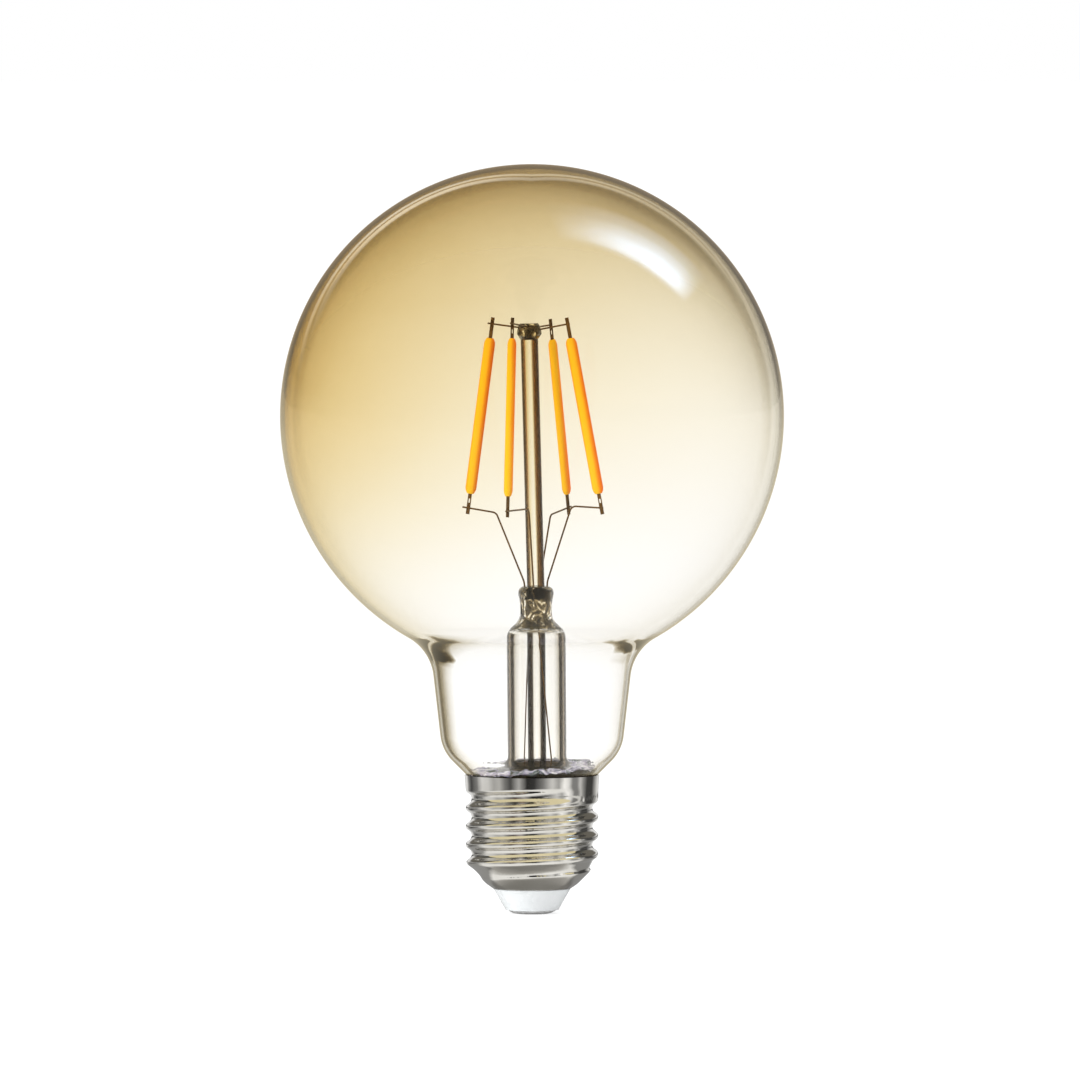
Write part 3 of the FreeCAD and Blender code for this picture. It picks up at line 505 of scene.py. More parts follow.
# Grazing share and tint of the painted shade bands at the edges of the drawn tubes, and the painted shade and
# glints of the pinched glass
FLARE_PAINTED_SHADE_BANDS = (
    (0.0, (1.0, 1.0, 1.0)), (0.18, (0.97, 0.96, 0.93)), (0.33, (0.30, 0.26, 0.20)),
    (0.37, (0.003, 0.002, 0.001)), (0.51, (0.003, 0.002, 0.001)), (0.55, (0.10, 0.07, 0.04)),
    (0.60, (0.08, 0.05, 0.025)), (0.64, (0.003, 0.002, 0.001)), (0.88, (0.006, 0.004, 0.001)),
    (1.0, (0.04, 0.03, 0.01)),
)
TUBE_PAINTED_SHADE_BANDS = (
    (0.0, (1.0, 1.0, 1.0)), (0.04, (0.90, 0.87, 0.82)), (0.09, (0.012, 0.008, 0.005)),
    (0.30, (0.008, 0.005, 0.003)), (0.42, (0.10, 0.08, 0.07)), (0.56, (0.006, 0.004, 0.003)),
    (1.0, (0.02, 0.015, 0.01)),
)
COLUMN_PAINTED_SHADE_BANDS = (
    (0.0, (1.0, 0.99, 0.95)), (0.06, (0.90, 0.82, 0.62)), (0.20, (0.22, 0.11, 0.035)),
    (0.30, (0.035, 0.016, 0.005)), (0.42, (0.008, 0.0035, 0.001)), (0.80, (0.010, 0.005, 0.002)),
    (1.0, (0.06, 0.035, 0.015)),
)
PINCH_PAINTED_SHADE_AND_GLINTS = (
    (0.36, (0.0015, 0.001, 0.0003)), (0.52, (0.008, 0.004, 0.001)), (0.60, (0.09, 0.052, 0.014)),
    (0.65, (0.70, 0.55, 0.28)), (0.70, (1.0, 0.98, 0.92)),
)


def phosphor_coat(stick):
    """The soft coat of a light stick: its own yellow-orange, with painted light in yellow towards its left
    and painted shade in orange towards its right.
    """
    material, tree, output = new_tree(f"phosphor_{stick}")
    place = place_on_piece(tree)
    x, _, z = axes(tree, place)
    low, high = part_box(stick)
    half = STICK_WIDTH / 2
    leans_left = high[0] + low[0] > 0
    foot, top = (high[0] - half, low[0] + half) if leans_left else (low[0] + half, high[0] - half)
    axis = span(tree, z, low[2], high[2], foot, top)
    beside = math_node(tree, "DIVIDE", math_node(tree, "SUBTRACT", x, axis), half)
    grain = noise(tree, place, 900.0, 4.0)
    patch = times(tree, total(tree, noise(tree, place, 160.0, 2.0), -0.5), PHOSPHOR_PATCH)
    share = span(tree, total(tree, beside, patch), -1.0, 1.0, 0.0, 1.0)
    # Painted light in yellow towards the left, painted shade in orange towards the right.
    colour = ramp(tree, share, PHOSPHOR_PAINTED_LIGHT_TONES)
    shader = surface(tree, output, 0.5, colour=colour, normal=bump(tree, grain, 0.3, PHOSPHOR_GRAIN))
    shader.inputs["Specular IOR Level"].default_value = 0.15
    return material


# Share of the stick's width from left to right, with the coat's colour there, as painted light on the left
# and painted shade on the right
STICK_WIDTH = 2.1 * MM
PHOSPHOR_PATCH = 0.35
PHOSPHOR_GRAIN = 0.05 * MM
PHOSPHOR_PAINTED_LIGHT_TONES = (
    (0.0, (1.0, 0.46, 0.012)), (0.12, (1.0, 0.60, 0.020)), (0.55, (1.0, 0.55, 0.016)),
    (0.68, (1.0, 0.40, 0.012)), (0.86, (1.0, 0.25, 0.008)), (1.0, (0.96, 0.20, 0.008)),
)


def dull_wire():
    """Nickel-plated iron wire and tab, dark brown, with tone and roughness that vary by a noise."""
    material, tree, output = new_tree("dull_wire")
    place = place_on_piece(tree)
    mottle = noise(tree, place, 400.0, 3.0)
    colour = ramp(tree, mottle, ((0.3, (0.070, 0.034, 0.007)), (0.7, (0.150, 0.080, 0.022))))
    shader = surface(tree, output, span(tree, mottle, 0.3, 0.7, 0.28, 0.5), metallic=0.2, colour=colour)
    shader.inputs["Specular IOR Level"].default_value = 0.15
    return material


def bright_nickel():
    """Nickel plate on the rolled shell, with fine rolling marks along the thread."""
    material, tree, output = new_tree("bright_nickel")
    place = place_on_piece(tree)
    marks = noise(tree, stretched(tree, place, (120, 120, 2600)), 1.0, 3.0)
    smear = noise(tree, place, 130.0, 4.0)
    colour = ramp(tree, smear, ((0.3, (0.70, 0.68, 0.63)), (0.7, (0.82, 0.80, 0.76))))
    roughness = span(tree, smear, 0.3, 0.7, 0.04, 0.10)
    surface(tree, output, roughness, metallic=1.0, colour=colour, normal=bump(tree, marks, 0.05, 0.02 * MM))
    return material


def white_insulator():
    """Pale moulded insulator under the cap, with a fine sheen."""
    material, tree, output = new_tree("white_insulator")
    place = place_on_piece(tree)
    flow = noise(tree, place, 220.0, 3.0)
    colour = ramp(tree, flow, ((0.3, (0.80, 0.83, 0.84)), (0.7, (0.87, 0.89, 0.90))))
    roughness = span(tree, flow, 0.3, 0.7, 0.22, 0.34)
    surface(tree, output, roughness, colour=colour, normal=bump(tree, flow, 0.1, 0.05 * MM))
    return material


def tinned_contact():
    """The tinned centre contact, scuffed by use."""
    material, tree, output = new_tree("tinned_contact")
    place = place_on_piece(tree)
    scuff = noise(tree, place, 700.0, 4.0)
    colour = ramp(tree, scuff, ((0.35, (0.66, 0.66, 0.65)), (0.65, (0.88, 0.88, 0.87))))
    surface(tree, output, span(tree, scuff, 0.3, 0.7, 0.25, 0.45), metallic=0.3, colour=colour)
    return material


def speckled(name, dark, light, roughness, scale):
    """A plain moulded or cured material with a fine speckle."""
    material, tree, output = new_tree(name)
    grain = noise(tree, place_on_piece(tree), scale, 4.0)
    colour = ramp(tree, grain, ((0.3, dark), (0.7, light)))
    surface(tree, output, roughness, colour=colour, normal=bump(tree, grain, 0.2, 0.06 * MM))
    return material


def on_profile(radius, height):
    """A point of the glass profile, in the plane of the bulb's axis."""
    return Vector((radius, 0.0, height))


def glass_profile():
    """The profile from its crown down: each arc's centre, turn and steps, and the straight run after it."""
    belly_centre = on_profile(GLOBE_RADIUS - BELLY_RADIUS, GLOBE_MIDDLE)
    neck_out = on_profile(math.cos(NECK_TAPER), -math.sin(NECK_TAPER))
    neck_up = on_profile(math.sin(NECK_TAPER), math.cos(NECK_TAPER))
    neck_point = on_profile(NECK_RADIUS, NECK_MIDDLE)
    cone_up = on_profile(math.sin(CONE_TAPER), math.cos(CONE_TAPER))
    cone_rim = on_profile(CONE_RIM_RADIUS, CAP_RIM)

    # The fillet touches the belly's arc and the neck's straight side.
    fillet_base = neck_point + NECK_FILLET * neck_out
    gap = fillet_base - belly_centre
    along = gap.dot(neck_up)
    beyond = gap.length_squared - (BELLY_RADIUS + NECK_FILLET) ** 2
    fillet_centre = fillet_base - (along + math.sqrt(along * along - beyond)) * neck_up
    to_fillet = fillet_centre - belly_centre
    belly_turn = math.atan2(-to_fillet.z, to_fillet.x)
    neck_start = fillet_centre - NECK_FILLET * neck_out

    # The shoulder rounds the corner where the neck's side meets the cone.
    cone_reach = (cone_rim - neck_point).dot(neck_out) / -cone_up.dot(neck_out)
    shoulder_corner = cone_rim + cone_reach * cone_up
    shoulder_reach = SHOULDER_RADIUS * math.tan((CONE_TAPER - NECK_TAPER) / 2)
    shoulder_start = shoulder_corner + shoulder_reach * neck_up
    cone_start = shoulder_corner - shoulder_reach * cone_up

    # The throat's fillet turns the cone back to straight, inside the cap.
    throat_drop = (CONE_RIM_RADIUS - THROAT_RADIUS) / math.tan(CONE_TAPER)
    throat_corner = on_profile(THROAT_RADIUS, CAP_RIM - throat_drop)
    throat_reach = THROAT_FILLET * math.tan(CONE_TAPER / 2)
    cone_end = throat_corner + throat_reach * cone_up
    throat_end = throat_corner - on_profile(0.0, throat_reach)

    shoulder_centre = shoulder_start - SHOULDER_RADIUS * neck_out
    throat_centre = throat_end + on_profile(THROAT_FILLET, 0.0)
    return (
        (on_profile(0.0, GLOBE_MIDDLE), math.pi / 2, 60, None),
        (belly_centre, belly_turn, 44, None),
        (fillet_centre, NECK_TAPER - belly_turn, 24, shoulder_start - neck_start),
        (shoulder_centre, CONE_TAPER - NECK_TAPER, 16, cone_end - cone_start),
        (throat_centre, -CONE_TAPER, 8, on_profile(0.0, GLASS_FOOT - throat_end.z)),
    )


def blown_globe():
    """The envelope, spun from its profile as it was blown, with an even wall."""
    bpy.ops.object.select_all(action="DESELECT")
    bpy.ops.mesh.primitive_plane_add(size=MM, location=(0.0, 0.0, 0.0))
    globe = bpy.context.object
    globe.name = "blown_globe"
    bpy.ops.object.mode_set(mode="EDIT")
    bpy.ops.mesh.merge(type="CENTER")
    bpy.ops.transform.translate(value=(0.0, 0.0, GLOBE_MIDDLE + GLOBE_RADIUS))
    for centre, turn, steps, run in glass_profile():
        bpy.ops.mesh.spin(steps=steps, angle=turn, center=centre, axis=(0.0, -1.0, 0.0))
        if run is not None:
            bpy.ops.mesh.extrude_region_move(TRANSFORM_OT_translate={"value": run})
    bpy.ops.mesh.select_all(action="SELECT")
    bpy.ops.mesh.spin(steps=GLASS_SIDES, angle=2 * math.pi, center=(0.0, 0.0, 0.0), axis=(0.0, 0.0, 1.0))
    bpy.ops.mesh.select_all(action="SELECT")
    bpy.ops.mesh.remove_doubles(threshold=0.01 * MM)
    bpy.ops.mesh.normals_make_consistent(inside=False)
    bpy.ops.object.mode_set(mode="OBJECT")
    bpy.ops.object.transform_apply(location=True, rotation=True, scale=True)
    wall = globe.modifiers.new("wall", "SOLIDIFY")
    wall.thickness = GLASS_WALL
    wall.offset = -1.0
    bpy.ops.object.modifier_apply(modifier="wall")
    bpy.ops.object.shade_smooth_by_angle(angle=math.radians(40))
    globe.data.materials.append(amber_glass())
    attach(globe, "root")
    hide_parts("glass_globe")


def fused_glass():
    """Glass that ran together in the flame: shining, and mottled with painted highlights in white, painted
    shade in dark, and lilac between.
    """
    material, tree, output = new_tree("fused_glass")
    place = place_on_piece(tree)
    flow = noise(tree, stretched(tree, place, (1.0, 1.0, 2.2)), 330.0, 4.0, 0.6, 2.0)
    # Painted highlights and painted shade in patches, lilac between.
    colour = ramp(tree, flow, FUSED_PAINTED_LIGHT_TONES)
    ripple = noise(tree, place, 600.0, 2.0)
    surface(tree, output, 0.12, colour=colour, normal=bump(tree, ripple, 0.4, 0.3 * MM))
    return material


def fused_seal():
    """The lumpy ring on the stem's flange, where it was melted into the neck."""
    bpy.ops.object.select_all(action="DESELECT")
    bpy.ops.mesh.primitive_torus_add(
        major_radius=SEAL_RADIUS, minor_radius=SEAL_WIDTH / 2, major_segments=144, minor_segments=24,
    )
    seal = bpy.context.object
    seal.name = "fused_seal"
    bpy.ops.object.mode_set(mode="EDIT")
    bpy.ops.mesh.select_all(action="SELECT")
    bpy.ops.transform.resize(value=(1.0, 1.0, SEAL_HEIGHT / SEAL_WIDTH))
    bpy.ops.transform.rotate(value=SEAL_TILT, orient_axis="Y", center_override=(0.0, 0.0, 0.0))
    bpy.ops.transform.translate(value=(0.0, 0.0, SEAL_LEVEL))
    bpy.ops.object.mode_set(mode="OBJECT")
    bpy.ops.object.transform_apply(location=True, rotation=True, scale=True)
    melt = bpy.data.textures.new("melted_glass", "CLOUDS")
    melt.noise_scale = SEAL_LUMPS
    melt.noise_depth = 2
    waves = seal.modifiers.new("waves", "DISPLACE")
    waves.texture = melt
    waves.texture_coords = "LOCAL"
    waves.direction = "Z"
    waves.mid_level = 0.45
    waves.strength = SEAL_WAVES
    bpy.ops.object.modifier_apply(modifier="waves")
    bpy.ops.object.shade_smooth()
    seal.data.materials.append(fused_glass())
    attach(seal, "root")


# The fused ring: its sizes and tilt, and its tones by the flow of the glass, with painted highlights and
# painted shade in patches
SEAL_RADIUS = 9.7 * MM
SEAL_WIDTH = 5.6 * MM
SEAL_HEIGHT = 0.8 * MM
SEAL_LEVEL = 28.4 * MM
SEAL_WAVES = 1.7 * MM
SEAL_LUMPS = 2.2 * MM
SEAL_TILT = math.radians(2.5)
FUSED_PAINTED_LIGHT_TONES = (
    (0.34, (0.02, 0.025, 0.025)), (0.42, (0.12, 0.16, 0.17)), (0.50, (0.36, 0.33, 0.48)),
    (0.58, (0.66, 0.64, 0.76)), (0.66, (0.94, 0.94, 0.96)),
)


def dress(names, material):
    """Gives CAD nodes a material."""
    for name in names:
        slots = nodes[name].data.materials
        slots.clear()
        slots.append(material)


# Plain moulded and cured pieces: dark and light tone, roughness and scale of the speckle
SPECKLED = {
    "cap_cement": (("cap_cement",), (0.16, 0.11, 0.06), (0.30, 0.22, 0.13), 0.8, 900.0),
    "board_laminate": (("driver_board",), (0.03, 0.16, 0.07), (0.05, 0.22, 0.10), 0.4, 500.0),
    "capacitor_sleeve": (("smoothing_capacitor",), (0.02, 0.03, 0.07), (0.04, 0.05, 0.10), 0.35, 400.0),
    "moulded_black": (
        ("driver_chip", "bridge_rectifier"), (0.012, 0.012, 0.013), (0.03, 0.03, 0.032), 0.5, 900.0,
    ),
    "resistor_body": (("fuse_resistor",), (0.10, 0.22, 0.30), (0.16, 0.30, 0.38), 0.45, 600.0),
}
FOUR = (1, 2, 3, 4)
FRAME_METAL = ("lower_tab", "upper_tab", "lead_wire", "anchor_wire")

blown_globe()
fused_seal()
dress(["stem_flare"], lead_glass("stem_glass", FLARE_RADIUS, STEM_LEAN, FLARE_PAINTED_SHADE_BANDS, FLARE_PINCH))
dress(["exhaust_tube"], lead_glass("exhaust_glass", EXHAUST_RADIUS, STEM_LEAN, TUBE_PAINTED_SHADE_BANDS, EXHAUST_PINCH))
column_glass = lead_glass("column_glass", COLUMN_RADIUS, COLUMN_LEAN, COLUMN_PAINTED_SHADE_BANDS, COLUMN_PINCH, COLUMN_RIGHT_PAINTED_SHADE)
dress(["support_column"], column_glass)
for n in FOUR:
    dress([f"light_stick_{n}"], phosphor_coat(f"light_stick_{n}"))
wire_finish = dull_wire()
dress([f"{part}_{n}" for part in FRAME_METAL for n in FOUR], wire_finish)
dress(["feed_wire_front", "feed_wire_back", "shell_wire"], wire_finish)
dress(["screw_shell"], bright_nickel())
dress(["cap_insulator"], white_insulator())
dress(["tip_contact"], tinned_contact())
for finish, (names, dark, light, roughness, scale) in SPECKLED.items():
    dress(names, speckled(finish, dark, light, roughness, scale))

# Camera: a long lens a little above the middle of the bulb
FIELD = 212.2 * MM
CAMERA_DISTANCE = 3.0
CAMERA_RISE = math.radians(2.5)
AIM = Vector((1.57 * MM, 0.0, 73.5 * MM))
lens = bpy.data.cameras.new("long_lens")
lens.sensor_width = 36.0
lens.lens = lens.sensor_width * CAMERA_DISTANCE / FIELD
lens.clip_start = 0.1
lens.clip_end = 100.0
camera = bpy.data.objects.new("camera", lens)
camera.location = AIM + CAMERA_DISTANCE * Vector((0.0, -math.cos(CAMERA_RISE), math.sin(CAMERA_RISE)))
camera.rotation_euler = (math.pi / 2 - CAMERA_RISE, 0.0, 0.0)
scene.collection.objects.link(camera)
scene.camera = camera


def softbox(name, place, aim, width, height, power):
    """A soft rectangular lamp turned to a point."""
    lamp = bpy.data.lights.new(name, "AREA")
    lamp.shape = "RECTANGLE"
    lamp.size = width
    lamp.size_y = height
    lamp.energy = power
    holder = bpy.data.objects.new(name, lamp)
    holder.location = place
    holder.rotation_euler = (Vector(aim) - Vector(place)).to_track_quat("-Z", "Y").to_euler()
    scene.collection.objects.link(holder)
    return holder


def ray_kinds(tree):
    """Whether a ray shows the background, was mirrored by the near glass, or was only bent by glass."""
    path = tree.nodes.new("ShaderNodeLightPath")
    seen = math_node(tree, "ADD", path.outputs["Is Camera Ray"], path.outputs["Is Glossy Ray"], clamp=True)
    seen = math_node(tree, "ADD", seen, path.outputs["Is Transmission Ray"], clamp=True)
    mirrored = math_node(tree, "GREATER_THAN", path.outputs["Glossy Depth"], 0.5)
    near = math_node(tree, "LESS_THAN", path.outputs["Transmission Depth"], 2.5)
    bent = math_node(tree, "SUBTRACT", path.outputs["Is Transmission Ray"], mirrored, clamp=True)
    return seen, math_node(tree, "MULTIPLY", mirrored, near), bent


def studio_world():
    """White where it is seen, dark flags in what the glass mirrors, and a plain soft light for the rest."""
    world = bpy.data.worlds.new("studio")
    scene.world = world
    world.use_nodes = True
    tree = world.node_tree
    tree.nodes.clear()
    output = tree.nodes.new("ShaderNodeOutputWorld")
    seen, mirrored, bent = ray_kinds(tree)
    rise = axes(tree, tree.nodes.new("ShaderNodeTexCoord").outputs["Generated"])[2]
    behind = blend(tree, bent, (1.0, 1.0, 1.0), ramp(tree, rise, CEILING_TONES))
    sight = tree.nodes.new("ShaderNodeBackground")
    sight.inputs["Strength"].default_value = 1.0
    tree.links.new(blend(tree, mirrored, behind, ramp(tree, rise, FLAG_TONES)), sight.inputs["Color"])
    light = tree.nodes.new("ShaderNodeBackground")
    light.inputs["Strength"].default_value = ROOM_LIGHT
    light.inputs["Color"].default_value = (1.0, 1.0, 1.0, 1.0)
    mix = tree.nodes.new("ShaderNodeMixShader")
    tree.links.new(seen, mix.inputs["Fac"])
    tree.links.new(light.outputs[0], mix.inputs[1])
    tree.links.new(sight.outputs[0], mix.inputs[2])
    tree.links.new(mix.outputs[0], output.inputs["Surface"])


# How steeply a ray rises, with the tone that bent and mirrored rays meet there
CEILING_TONES = greys((0.5, 1.05), (0.8, 0.3))
FLAG_TONES = greys((0.0, 0.08), (0.7, 0.10), (0.9, 0.5), (1.0, 0.6))
ROOM_LIGHT = 0.85


def studio_floor():
    """A wide pale floor that is white where it is seen and keeps the bulb's shadow."""
    bpy.ops.object.select_all(action="DESELECT")
    bpy.ops.mesh.primitive_circle_add(
        vertices=64, radius=FLOOR_RADIUS, fill_type="NGON", location=(0.0, 0.0, 0.0),
    )
    floor = bpy.context.object
    floor.name = "studio_floor"
    material, tree, output = new_tree("floor_paper")
    fibre = noise(tree, place_on_piece(tree), 60.0, 3.0)
    seen, mirrored, _ = ray_kinds(tree)
    paper = tree.nodes.new("ShaderNodeBsdfDiffuse")
    tree.links.new(blend(tree, seen, FLOOR_BOUNCE, ramp(tree, fibre, FLOOR_TONES)), paper.inputs["Color"])
    lift = tree.nodes.new("ShaderNodeEmission")
    unmirrored = total(tree, 1.0, times(tree, mirrored, -FLOOR_DARK_IN_GLASS))
    tree.links.new(times(tree, seen, unmirrored, FLOOR_LIFT), lift.inputs["Strength"])
    both = tree.nodes.new("ShaderNodeAddShader")
    tree.links.new(paper.outputs[0], both.inputs[0])
    tree.links.new(lift.outputs[0], both.inputs[1])
    tree.links.new(both.outputs[0], output.inputs["Surface"])
    floor.data.materials.append(material)


# The floor: its reach, its tones where it is seen, what it throws back, and its own light
FLOOR_RADIUS = 12.0
FLOOR_TONES = greys((0.3, 0.33), (0.7, 0.35))
FLOOR_BOUNCE = (0.88, 0.88, 0.88)
FLOOR_LIFT = 0.76
FLOOR_DARK_IN_GLASS = 0.85


def for_mirrors_only(card):
    """A card of the studio that shows only in what mirrors it."""
    card.visible_camera = False
    card.visible_diffuse = False
    card.visible_transmission = False
    card.visible_volume_scatter = False
    card.visible_shadow = False


def tones_by_bearing(tree, turn, tones):
    """A ring of tones from (bearing in degrees, colour) pairs."""
    return ramp(tree, turn, [(0.5 + bearing / 360, colour) for bearing, colour in tones])


def seen_in_metal(tree, turn, z, walls):
    """What the cap mirrors: a low ring for its rim, walls for its thread, and boards above them."""
    low = blend(tree, span(tree, z, *RIM_TOP, 0.0, 1.0), tones_by_bearing(tree, turn, RIM_TONES), walls)
    return blend(tree, span(tree, z, *BOARD_FOOT, 0.0, 1.0), low, tones_by_bearing(tree, turn, BOARD_TONES))


def seen_in_glass(tree, turn, bearing, x, z):
    """What the glass mirrors: pale below, dark boards above, and two bright strips across its back."""
    behind = math_node(tree, "ABSOLUTE", bearing)
    level = span(tree, behind, STRIP_ENDS[0], math.pi, *STRIP_LEVELS)
    above = span(tree, math_node(tree, "SUBTRACT", z, level), *STRIP_RISE, 0.0, 1.0)
    strips = times(
        tree, ramp(tree, above, STRIPS), span(tree, behind, *STRIP_ENDS, 0.0, 1.0),
        span(tree, x, *STRIP_SIDES, *STRIP_SHARE),
    )
    boards = tones_by_bearing(tree, turn, GLASS_TONES)
    clear = blend(tree, span(tree, z, *GLASS_BOARD_FOOT, 0.0, 1.0), GLASS_LOW, boards)
    return blend(tree, strips, clear, STRIP_COLOUR)


def studio_surround():
    """Dark flags and pale boards round the bulb, and a white table, with soft borders."""
    bpy.ops.object.select_all(action="DESELECT")
    bpy.ops.mesh.primitive_plane_add(size=0.01, location=(0.0, -TABLE_HOLE, TABLE_LEVEL))
    card = bpy.context.object
    card.name = "studio_surround"
    bpy.ops.object.mode_set(mode="EDIT")
    bpy.ops.mesh.merge(type="CENTER")
    for run in ((0.0, TABLE_HOLE - WALL_RADIUS, 0.0), (0.0, 0.0, WALL_HEIGHT)):
        bpy.ops.mesh.extrude_region_move(TRANSFORM_OT_translate={"value": run})
    bpy.ops.mesh.select_all(action="SELECT")
    bpy.ops.mesh.spin(steps=72, angle=2 * math.pi, center=(0.0, 0.0, 0.0), axis=(0.0, 0.0, 1.0))
    bpy.ops.mesh.select_all(action="SELECT")
    bpy.ops.mesh.remove_doubles(threshold=0.0001)
    bpy.ops.object.mode_set(mode="OBJECT")
    material, tree, output = new_tree("studio_surround")
    x, y, z = axes(tree, place_on_piece(tree))
    bearing = math_node(tree, "ARCTAN2", x, times(tree, y, -1.0))
    turn = span(tree, bearing, -math.pi, math.pi, 0.0, 1.0)
    reach = math_node(tree, "SQRT", total(tree, times(tree, x, x), times(tree, y, y)))
    sharp = tree.nodes.new("ShaderNodeLightPath").outputs["Is Singular Ray"]
    walls = tones_by_bearing(tree, turn, WALL_TONES)
    metal = seen_in_metal(tree, turn, z, walls)
    raised = blend(tree, sharp, metal, seen_in_glass(tree, turn, bearing, x, z))
    raised = blend(tree, span(tree, z, *WALL_FADE, 0.0, 1.0), raised, WALL_TOP)
    table = ramp(tree, math_node(tree, "DIVIDE", reach, WALL_RADIUS), TABLE_TONES)
    shaded = multiplied(tree, table, tones_by_bearing(tree, turn, SIDE_TONES))
    table = blend(tree, span(tree, reach, *TABLE_MIDDLE, 0.0, 1.0), table, shaded)
    table = blend(tree, span(tree, reach, *TABLE_EDGE, 0.0, 1.0), table, walls)
    table = blend(tree, sharp, table, GLASS_LOW)
    glow = tree.nodes.new("ShaderNodeEmission")
    tree.links.new(blend(tree, span(tree, z, *WALL_FOOT, 0.0, 1.0), table, raised), glow.inputs["Color"])
    tree.links.new(glow.outputs[0], output.inputs["Surface"])
    material.cycles.emission_sampling = "NONE"
    card.data.materials.append(material)
    for_mirrors_only(card)


# The surround's own sizes, and the heights and reaches over which its tones pass into each other
WALL_RADIUS = 0.35
WALL_HEIGHT = 1.2
WALL_FOOT = (0.001, 0.002)
WALL_FADE = (0.5, 1.15)
WALL_TOP = (0.5, 0.5, 0.5)
RIM_TOP = (0.020, 0.035)
BOARD_FOOT = (0.085, 0.115)
GLASS_BOARD_FOOT = (0.07, 0.13)
TABLE_HOLE = 0.002
TABLE_LEVEL = 0.0005
TABLE_MIDDLE = (0.006, 0.012)
TABLE_EDGE = (0.035, 0.075)

# Bearing in degrees, 0 at the camera and 90 at the right, with the tone there for the thread and the rim
WALL_TONES = greys(
    (-180, 0.80), (-150, 0.80), (-140, 0.25), (-128, 0.06), (-108, 0.25), (-95, 0.80), (-80, 0.75),
    (-68, 0.50), (-57, 0.60), (-47, 0.25), (-36, 0.08), (-22, 0.50), (-9, 0.03), (4, 0.05), (19, 0.25),
    (35, 0.75), (46, 0.45), (57, 1.15), (66, 0.80), (73, 0.25), (82, 0.25), (90, 0.65), (98, 0.30),
    (108, 0.06), (126, 0.06), (138, 0.40), (152, 0.80), (180, 0.80),
)
BOARD_TONES = (
    (-180, (0.16, 0.15, 0.13)), (-125, (0.16, 0.15, 0.13)), (-112, (0.10, 0.10, 0.09)),
    (-96, (0.06, 0.06, 0.05)), (-92, (0.86, 0.77, 0.50)), (92, (0.86, 0.77, 0.50)),
    (95, (0.04, 0.04, 0.04)), (115, (0.10, 0.10, 0.09)), (130, (0.16, 0.15, 0.13)),
    (180, (0.16, 0.15, 0.13)),
)
RIM_TONES = (
    (-180, (0.07, 0.07, 0.07)), (-147, (0.07, 0.07, 0.07)), (-131, (0.75, 0.75, 0.73)),
    (-85, (0.75, 0.75, 0.73)), (-60, (0.50, 0.50, 0.48)), (-46, (0.40, 0.38, 0.36)),
    (-40, (0.34, 0.18, 0.12)), (-20, (0.34, 0.18, 0.12)), (-15, (0.04, 0.04, 0.04)),
    (8, (0.04, 0.04, 0.04)), (15, (1.05, 1.05, 1.05)), (24, (0.65, 0.65, 0.64)),
    (33, (0.65, 0.65, 0.64)), (40, (0.33, 0.33, 0.32)), (55, (0.33, 0.33, 0.32)),
    (59, (0.78, 0.78, 0.77)), (88, (0.78, 0.78, 0.77)), (95, (0.06, 0.06, 0.06)),
    (100, (1.1, 1.1, 1.1)), (104, (0.05, 0.05, 0.05)), (110, (0.12, 0.12, 0.12)),
    (180, (0.12, 0.12, 0.12)),
)

# Share of the wall's radius, with the table's tone there, and bearing, with the share of that tone
TABLE_TONES = (
    (0.022, (0.24, 0.235, 0.22)), (0.031, (0.42, 0.41, 0.39)), (0.040, (0.98, 0.98, 0.97)),
    (0.50, (0.95, 0.95, 0.94)),
)
SIDE_TONES = greys((-180, 0.30), (-100, 0.35), (-86, 1.0), (84, 1.0), (96, 0.30), (180, 0.30))

# What the glass mirrors: tones by bearing, and strips by their share of a rise about a level
GLASS_LOW = (0.84, 0.75, 0.54)
GLASS_TONES = (
    (-180, (0.44, 0.34, 0.22)), (-158, (0.44, 0.34, 0.22)), (-140, (0.22, 0.19, 0.13)),
    (-110, (0.12, 0.11, 0.09)), (-90, (0.50, 0.46, 0.36)), (90, (0.50, 0.46, 0.36)),
    (110, (0.14, 0.13, 0.12)), (140, (0.24, 0.22, 0.19)), (158, (0.38, 0.32, 0.25)),
    (180, (0.44, 0.34, 0.22)),
)
STRIPS = greys(
    (0.0, 0.0), (0.20, 0.0), (0.30, 0.8), (0.40, 0.8), (0.46, 0.1), (0.52, 0.1), (0.60, 1.0),
    (0.76, 1.0), (0.90, 0.0),
)
STRIP_COLOUR = (2.2, 2.1, 1.8)
STRIP_ENDS = (math.radians(130), math.radians(154))
STRIP_LEVELS = (0.14, 0.39)
STRIP_RISE = (-0.06, 0.10)
STRIP_SIDES = (-0.10, 0.14)
STRIP_SHARE = (1.0, 0.3)


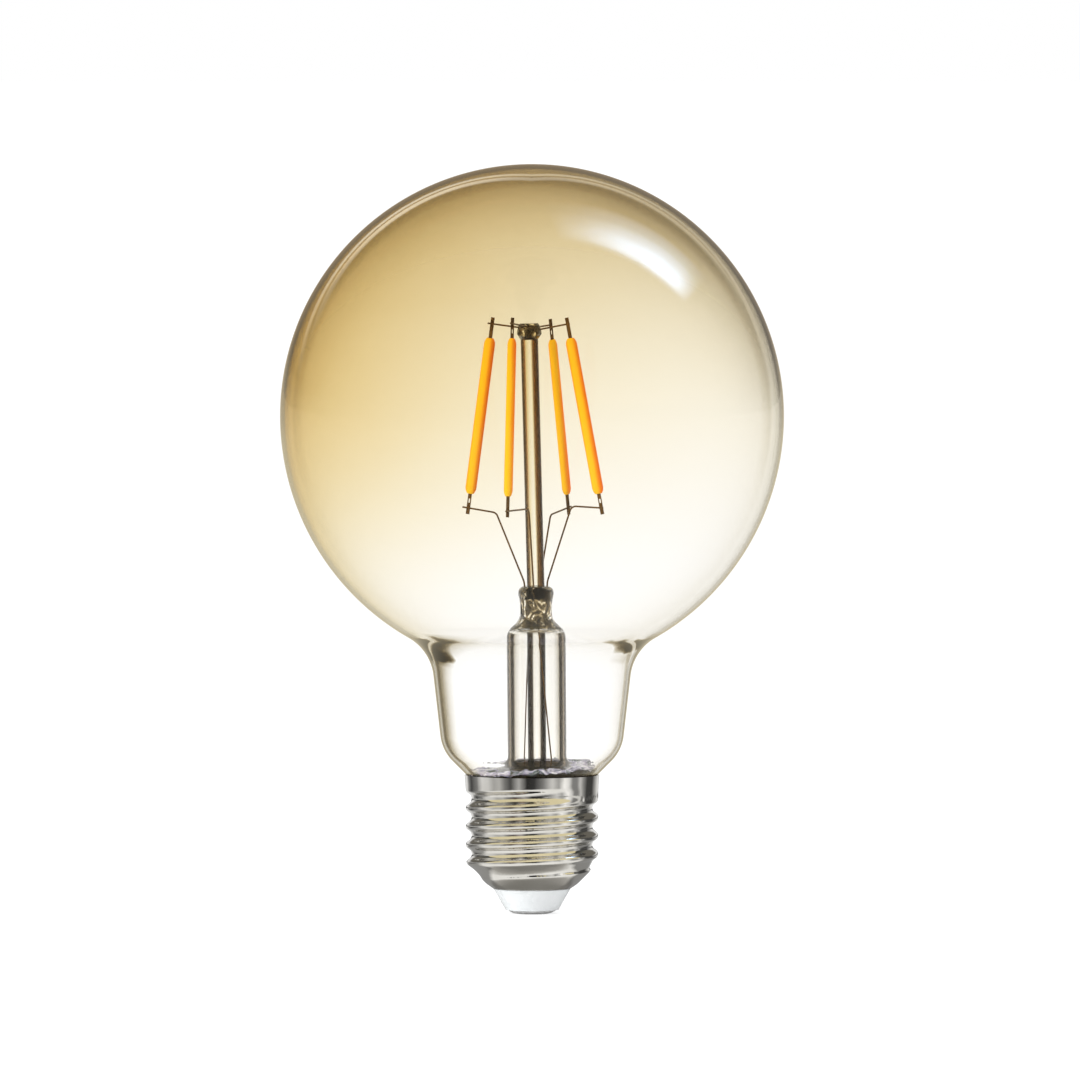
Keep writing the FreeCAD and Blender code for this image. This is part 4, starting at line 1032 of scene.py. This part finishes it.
def crown_glow():
    """The soft bright patch that the upper right of the globe mirrors."""
    along = Vector(GLOW_LINE).normalized()
    middle = Vector(GLOW_MIDDLE) - GLOW_SHIFT * along
    towards = (Vector(GLOW_TARGET) - middle).normalized()
    across = towards.cross(along).normalized()
    along = across.cross(towards).normalized()
    middle = middle - GLOW_RISE * across
    bpy.ops.object.select_all(action="DESELECT")
    bpy.ops.mesh.primitive_plane_add(size=2.0)
    card = bpy.context.object
    card.name = "crown_glow"
    turn = Matrix((along, across, towards)).transposed().to_4x4()
    card.matrix_world = Matrix.Translation(middle) @ turn @ Matrix.Diagonal((*GLOW_HALF, 1.0, 1.0))
    material, tree, output = new_tree("crown_glow")
    x, y, _ = axes(tree, place_on_piece(tree))
    along_fall = ramp(tree, span(tree, x, -1.0, 1.0, 0.0, 1.0), GLOW_ALONG)
    across_fall = ramp(tree, span(tree, y, -1.0, 1.0, 0.0, 1.0), GLOW_ACROSS)
    away = tree.nodes.new("ShaderNodeLightPath").outputs["Ray Length"]
    near = span(tree, away, *GLOW_REACH, GLOW_ON_GLOBE, GLOW_ON_CAP)
    glow = tree.nodes.new("ShaderNodeEmission")
    glow.inputs["Color"].default_value = GLOW_COLOUR
    tree.links.new(times(tree, along_fall, across_fall, near), glow.inputs["Strength"])
    clear = tree.nodes.new("ShaderNodeBsdfTransparent")
    both = tree.nodes.new("ShaderNodeAddShader")
    tree.links.new(glow.outputs[0], both.inputs[0])
    tree.links.new(clear.outputs[0], both.inputs[1])
    tree.links.new(both.outputs[0], output.inputs["Surface"])
    material.cycles.emission_sampling = "NONE"
    card.data.materials.append(material)
    for_mirrors_only(card)


# The glow's card: its line, middle and the point of the globe that it is turned to, then how it fades
GLOW_LINE = (0.1845, 0.030, -0.129)
GLOW_MIDDLE = (0.185, 0.054, GLOBE_MIDDLE + 0.255)
GLOW_TARGET = (0.020, -0.029, GLOBE_MIDDLE + 0.032)
GLOW_HALF = (0.140, 0.085)
GLOW_SHIFT = 0.037
GLOW_RISE = 0.016
GLOW_REACH = (0.32, 0.36)
GLOW_ON_GLOBE = 30.0
GLOW_ON_CAP = 8.0
GLOW_COLOUR = (0.45, 0.66, 1.0, 1.0)
GLOW_ALONG = greys(
    (0.0, 0.0), (0.2, 0.25), (0.45, 0.75), (0.7, 1.0), (0.85, 0.8), (0.95, 0.25), (1.0, 0.0),
)
GLOW_ACROSS = greys(
    (0.0, 0.0), (0.3, 0.15), (0.5, 0.45), (0.65, 0.85), (0.78, 1.0), (0.86, 0.8), (0.93, 0.2), (1.0, 0.0),
)

# Soft lamps: place, width, height and power
LAMP_AIM = (0.0, 0.0, 0.09)
SOFTBOXES = {
    "crown_softbox": ((0.36, 0.16, 0.58), 0.30, 0.14, 1.5),
    "left_softbox": ((-0.9, -0.7, 0.6), 0.7, 0.9, 13.0),
}

studio_world()
studio_floor()
studio_surround()
crown_glow()
for name, (place, width, height, power) in SOFTBOXES.items():
    lamp = softbox(name, place, LAMP_AIM, width, height, power)
    lamp.visible_glossy = False
    lamp.visible_transmission = False

scene.view_settings.view_transform = "Standard"
scene.cycles.caustics_reflective = False
scene.cycles.max_bounces = 32
scene.cycles.transmission_bounces = 32
